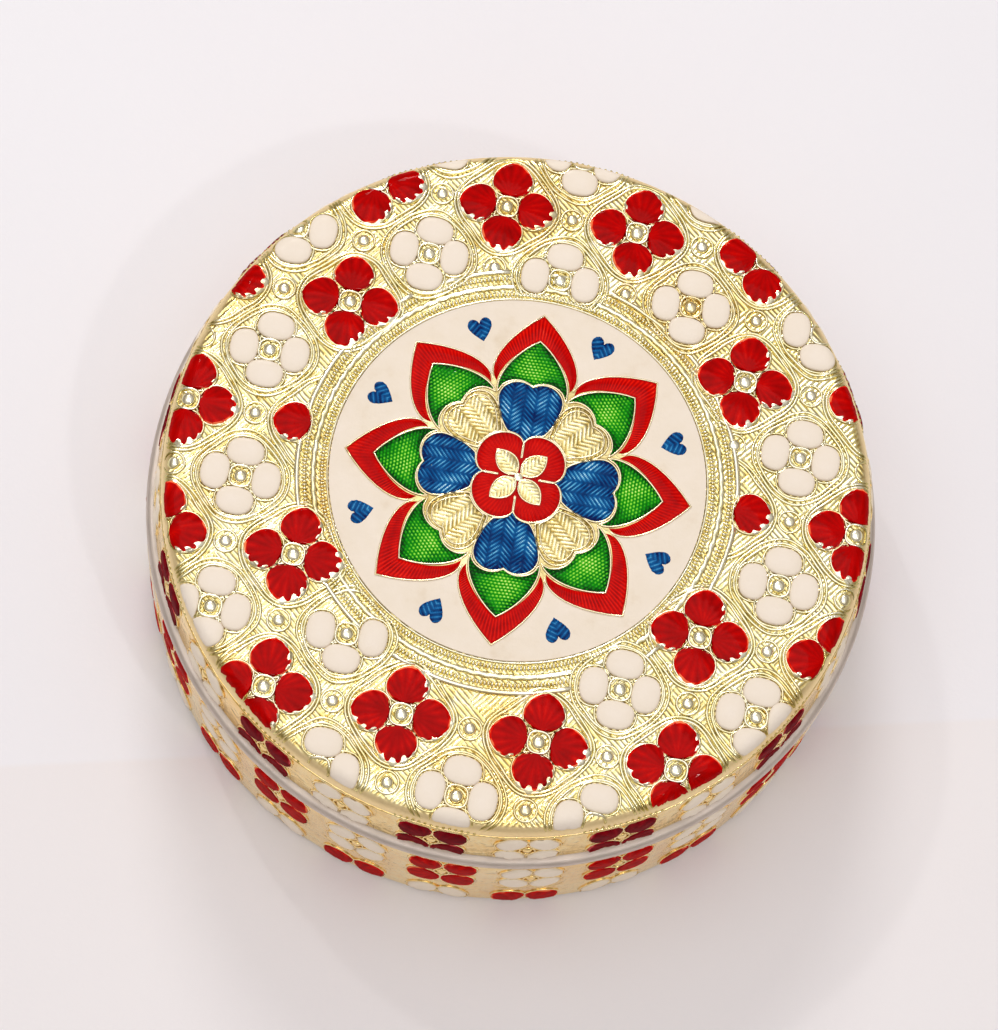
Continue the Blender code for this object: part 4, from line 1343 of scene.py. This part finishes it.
# Strips: gilt foil stamped in a repeat of red and cream flowers, bent round the wall and glued, with
# the ends lapped at the back. The lid's strip ends just under the fold of the top sheet, and both
# have a rounded upper edge.

THICK = 0.0004
GLUE = 0.0001
FOLD_ROOM = 0.0005             # the sheet's folded edge lies between the lid's wall and its strip
LID_LOW = LID_EDGE + GLUE
LID_HIGH = 0.0257
BASE_LOW = 0.0005
BASE_HIGH = BEAD_LOW - GLUE
LOWER_RIM = 0.00025            # the plain edges of a strip, where a flower is cut off
UPPER_RIM = 0.00030
TALLEST = 0.00029              # what a petal may stand out from the strip
CUT_DEPTH = 0.00012            # how deep the cut-off part of a petal lies in the strip
NARROWED = 0.88                # the strips' flowers are narrower than the lid's
STRIP_DOME = 0.042             # half a bead's width and the reaches of two wires, in grid steps
DOME_WIRE = 0.066
WAVY_WIRE = 0.325
WAVY_SWAY = 0.070
GLINTS = 14
GLINT_REACH = 0.29
GLINT_LEVEL = 0.02625
ALL_FOUR = (45, 135, 225, 315)
UPPER_TWO = (45, 135)


def height_on_strip(tree, place):
    return spread(tree, grain(tree, place, 90.0), 0.12, 0.40)


gilt_strip = make_gilt("gilt sheet, strips", height_on_strip, (0.76, 0.49, 0.15), (0.98, 0.73, 0.31),
                       (1.0, 0.88, 0.52), 0.15)
strip_red = make_enamel("red enamel, strips", (0.06, 0.0, 0.004), (0.23, 0.001, 0.006),
                        (0.42, 0.008, 0.018), (0.70, 0.10, 0.10))
strip_cream = make_enamel("cream enamel, strips", (0.80, 0.63, 0.43), (0.96, 0.84, 0.68),
                          (1.0, 0.89, 0.74), (1.0, 0.91, 0.77), 0.16)
side_ball = round_shape(12, 8)
glint_ball = round_shape(8, 6)


def over_lid(z):
    return lid_radius(z) + FOLD_ROOM


def over_base(z):
    return body_radius(z) + GLUE


def make_strip(name, low, high, inner, lip_steps, body, node_name):
    """A strip round its wall, which isn't quite smooth outside."""
    lip = THICK / 2
    profile = [(inner(low), low), (inner(low) + THICK - lip, low), (inner(low) + THICK, low + lip)]
    for level in [low + (high - low) * k / 12 for k in range(1, 11)]:
        profile.append((inner(level) + THICK, level))
    profile += round_off(inner(high) + lip, high - lip, lip, 0, 90, lip_steps) + [(inner(high), high)]
    made = bmesh.new()
    turned(made, profile, 312)
    for vert in made.verts:
        reach = hypot(vert.co.x, vert.co.y)
        if reach > inner(vert.co.z) + THICK * 0.9:
            push = 0.00003 * noise.noise(vert.co * 700) - 0.00001
            vert.co.xy *= (reach + push) / reach
    strip = shown(name, made, gilt_strip, body)
    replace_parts(strip, node_name)


make_strip("lid_strip_stamped", LID_LOW, LID_HIGH, over_lid, 5, "lid", "lid_side_band")
make_strip("base_strip_stamped", BASE_LOW, BASE_HIGH, over_base, 4, "base", "base_side_band")


def on_wall(azimuth, level, inner, low, high, stretch, turn):
    """Lays a petal's own steps on a strip, cut off at the strip's edges."""
    def lay(u, v, rise):
        along = STEP * (u * cos(turn) - v * sin(turn)) * NARROWED
        above = STEP * (u * sin(turn) + v * cos(turn)) * stretch
        z = min(max(level + above, low + LOWER_RIM), high - UPPER_RIM)
        out = min(rise, TALLEST) if z == level + above else -CUT_DEPTH
        reach = inner(z) + THICK + out
        angle = azimuth + along / (inner(level) + THICK)
        return Vector((reach * cos(angle), reach * sin(angle), z))
    return lay


def add_glints(bm, azimuth):
    """A row of small bright bumps on the fold above a red flower, in two arcs."""
    wall = FLAT_REACH + FOLD - 0.00004
    middle = (GLINTS - 1) / 2
    for k in range(GLINTS):
        along = (k - middle) / middle * GLINT_REACH
        off_arc = 2 * abs(abs(along) - GLINT_REACH / 2) / GLINT_REACH
        level = GLINT_LEVEL - 0.00022 * off_arc ** 2
        for vert in add_copy(bm, glint_ball):
            reach = wall + 0.00015 * max(vert.co.z, -0.3)
            angle = azimuth + (along * STEP + vert.co.x * 0.00017) / wall
            vert.co = (reach * cos(angle), reach * sin(angle), level + vert.co.y * 0.00020)


def dress_strip(prefix, body, node_name, red_finish, rows, count, start, inner, low, high, stretch):
    """Flowers, wires and beads of one strip.

    rows holds each row's height, which colour comes first and which petals show.
    """
    red = bmesh.new()
    cream = bmesh.new()
    red_crest = red.verts.layers.float.new("crest")
    cream_crest = cream.verts.layers.float.new("crest")
    beads = bmesh.new()
    glints = bmesh.new()
    loops = []
    for level, first, petals in rows:
        for k in range(count):
            azimuth = start + 2 * pi * k / count
            is_red = (k + first) % 2 == 0
            if is_red and body == "lid":
                add_glints(glints, azimuth)
            for turn in petals:
                lay = on_wall(azimuth, level, inner, low, high, stretch, radians(turn))
                if is_red:
                    add_shell(red, red_crest, 6, (0.0, 0.35, 0.7, 0.94, 1.0, 1.02), 0.00030, lay)
                else:
                    add_pool(cream, cream_crest, side_ball, 0.00030, lay)
                outline = shell_outline(14, 0.016) if is_red else oval_outline(14, 0.014)
                loops.append([lay(u, v, 0.00004) for u, v in outline])
            if low < level < high:
                flat = on_wall(azimuth, level, inner, low, high, stretch, 0.0)
                loops.append([flat(DOME_WIRE * cos(a), DOME_WIRE * sin(a), 0.00010) for a in angles_of(12)])
                for vert in add_copy(beads, side_ball):
                    u, v, w = vert.co
                    vert.co = flat(u * STRIP_DOME, v * STRIP_DOME, 0.00026 * w if w > 0 else 0.0001 * w)
                wavy = []
                for angle in angles_of(36):
                    out = WAVY_WIRE + WAVY_SWAY * cos(4 * (angle - pi / 4))
                    wavy.append(flat(out * cos(angle), out * sin(angle), -0.00007))
                loops.append(wavy)
    close_under(red)
    shown(prefix + "_red_petals", red, red_finish, body, 60.0)
    shown(prefix + "_cream_petals", cream, strip_cream, body, 60.0)
    ball_piece = shown(prefix + "_beads", beads, gilt_strip, body, 80.0)
    wire_piece = tubes(prefix + "_wires", loops, 0.00011, gilt_strip, body)
    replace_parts(ball_piece, node_name)
    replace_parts(wire_piece, node_name)
    if glints.verts:
        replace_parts(shown("fold_glints", glints, gilt_ridge, "lid", 80.0), "lid_top_sheet")


def add_lap(name, azimuth, low, high, inner, body, node_name):
    """The strip's outer end, lapped over its inner one at the back of the box."""
    made = bmesh.new()
    for vert in bmesh.ops.create_grid(made, x_segments=8, y_segments=12, size=1.0)["verts"]:
        z = (low + high) / 2 + vert.co.y * ((high - low) / 2 - LOWER_RIM)
        edge = max(abs(vert.co.x), abs(vert.co.y))
        reach = inner(z) + THICK + (0.00009 if edge < 0.9 else -SUNK)
        angle = azimuth + vert.co.x * 0.0008 / reach
        vert.co = (reach * cos(angle), reach * sin(angle), z)
    close_under(made)
    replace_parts(shown(name, made, gilt_strip, body), node_name)


add_lap("lid_strip_lap", radians(95.1), LID_LOW, LID_HIGH, over_lid, "lid", "lid_side_band")
add_lap("base_strip_lap", radians(97.2), BASE_LOW, BASE_HIGH, over_base, "base", "base_side_band")

lid_rows = [(0.0222, 0, ALL_FOUR)]
dress_strip("lid_strip", "lid", "lid_side_band", strip_red, lid_rows, 24, radians(-2.4),
            over_lid, LID_LOW, LID_HIGH, 0.92)
base_rows = [(0.0127, 0, ALL_FOUR), (0.0002, 1, UPPER_TWO)]
dress_strip("base_strip", "base", "base_side_band", red_enamel, base_rows, 26, radians(-89.7),
            over_base, BASE_LOW, BASE_HIGH, 1.27)
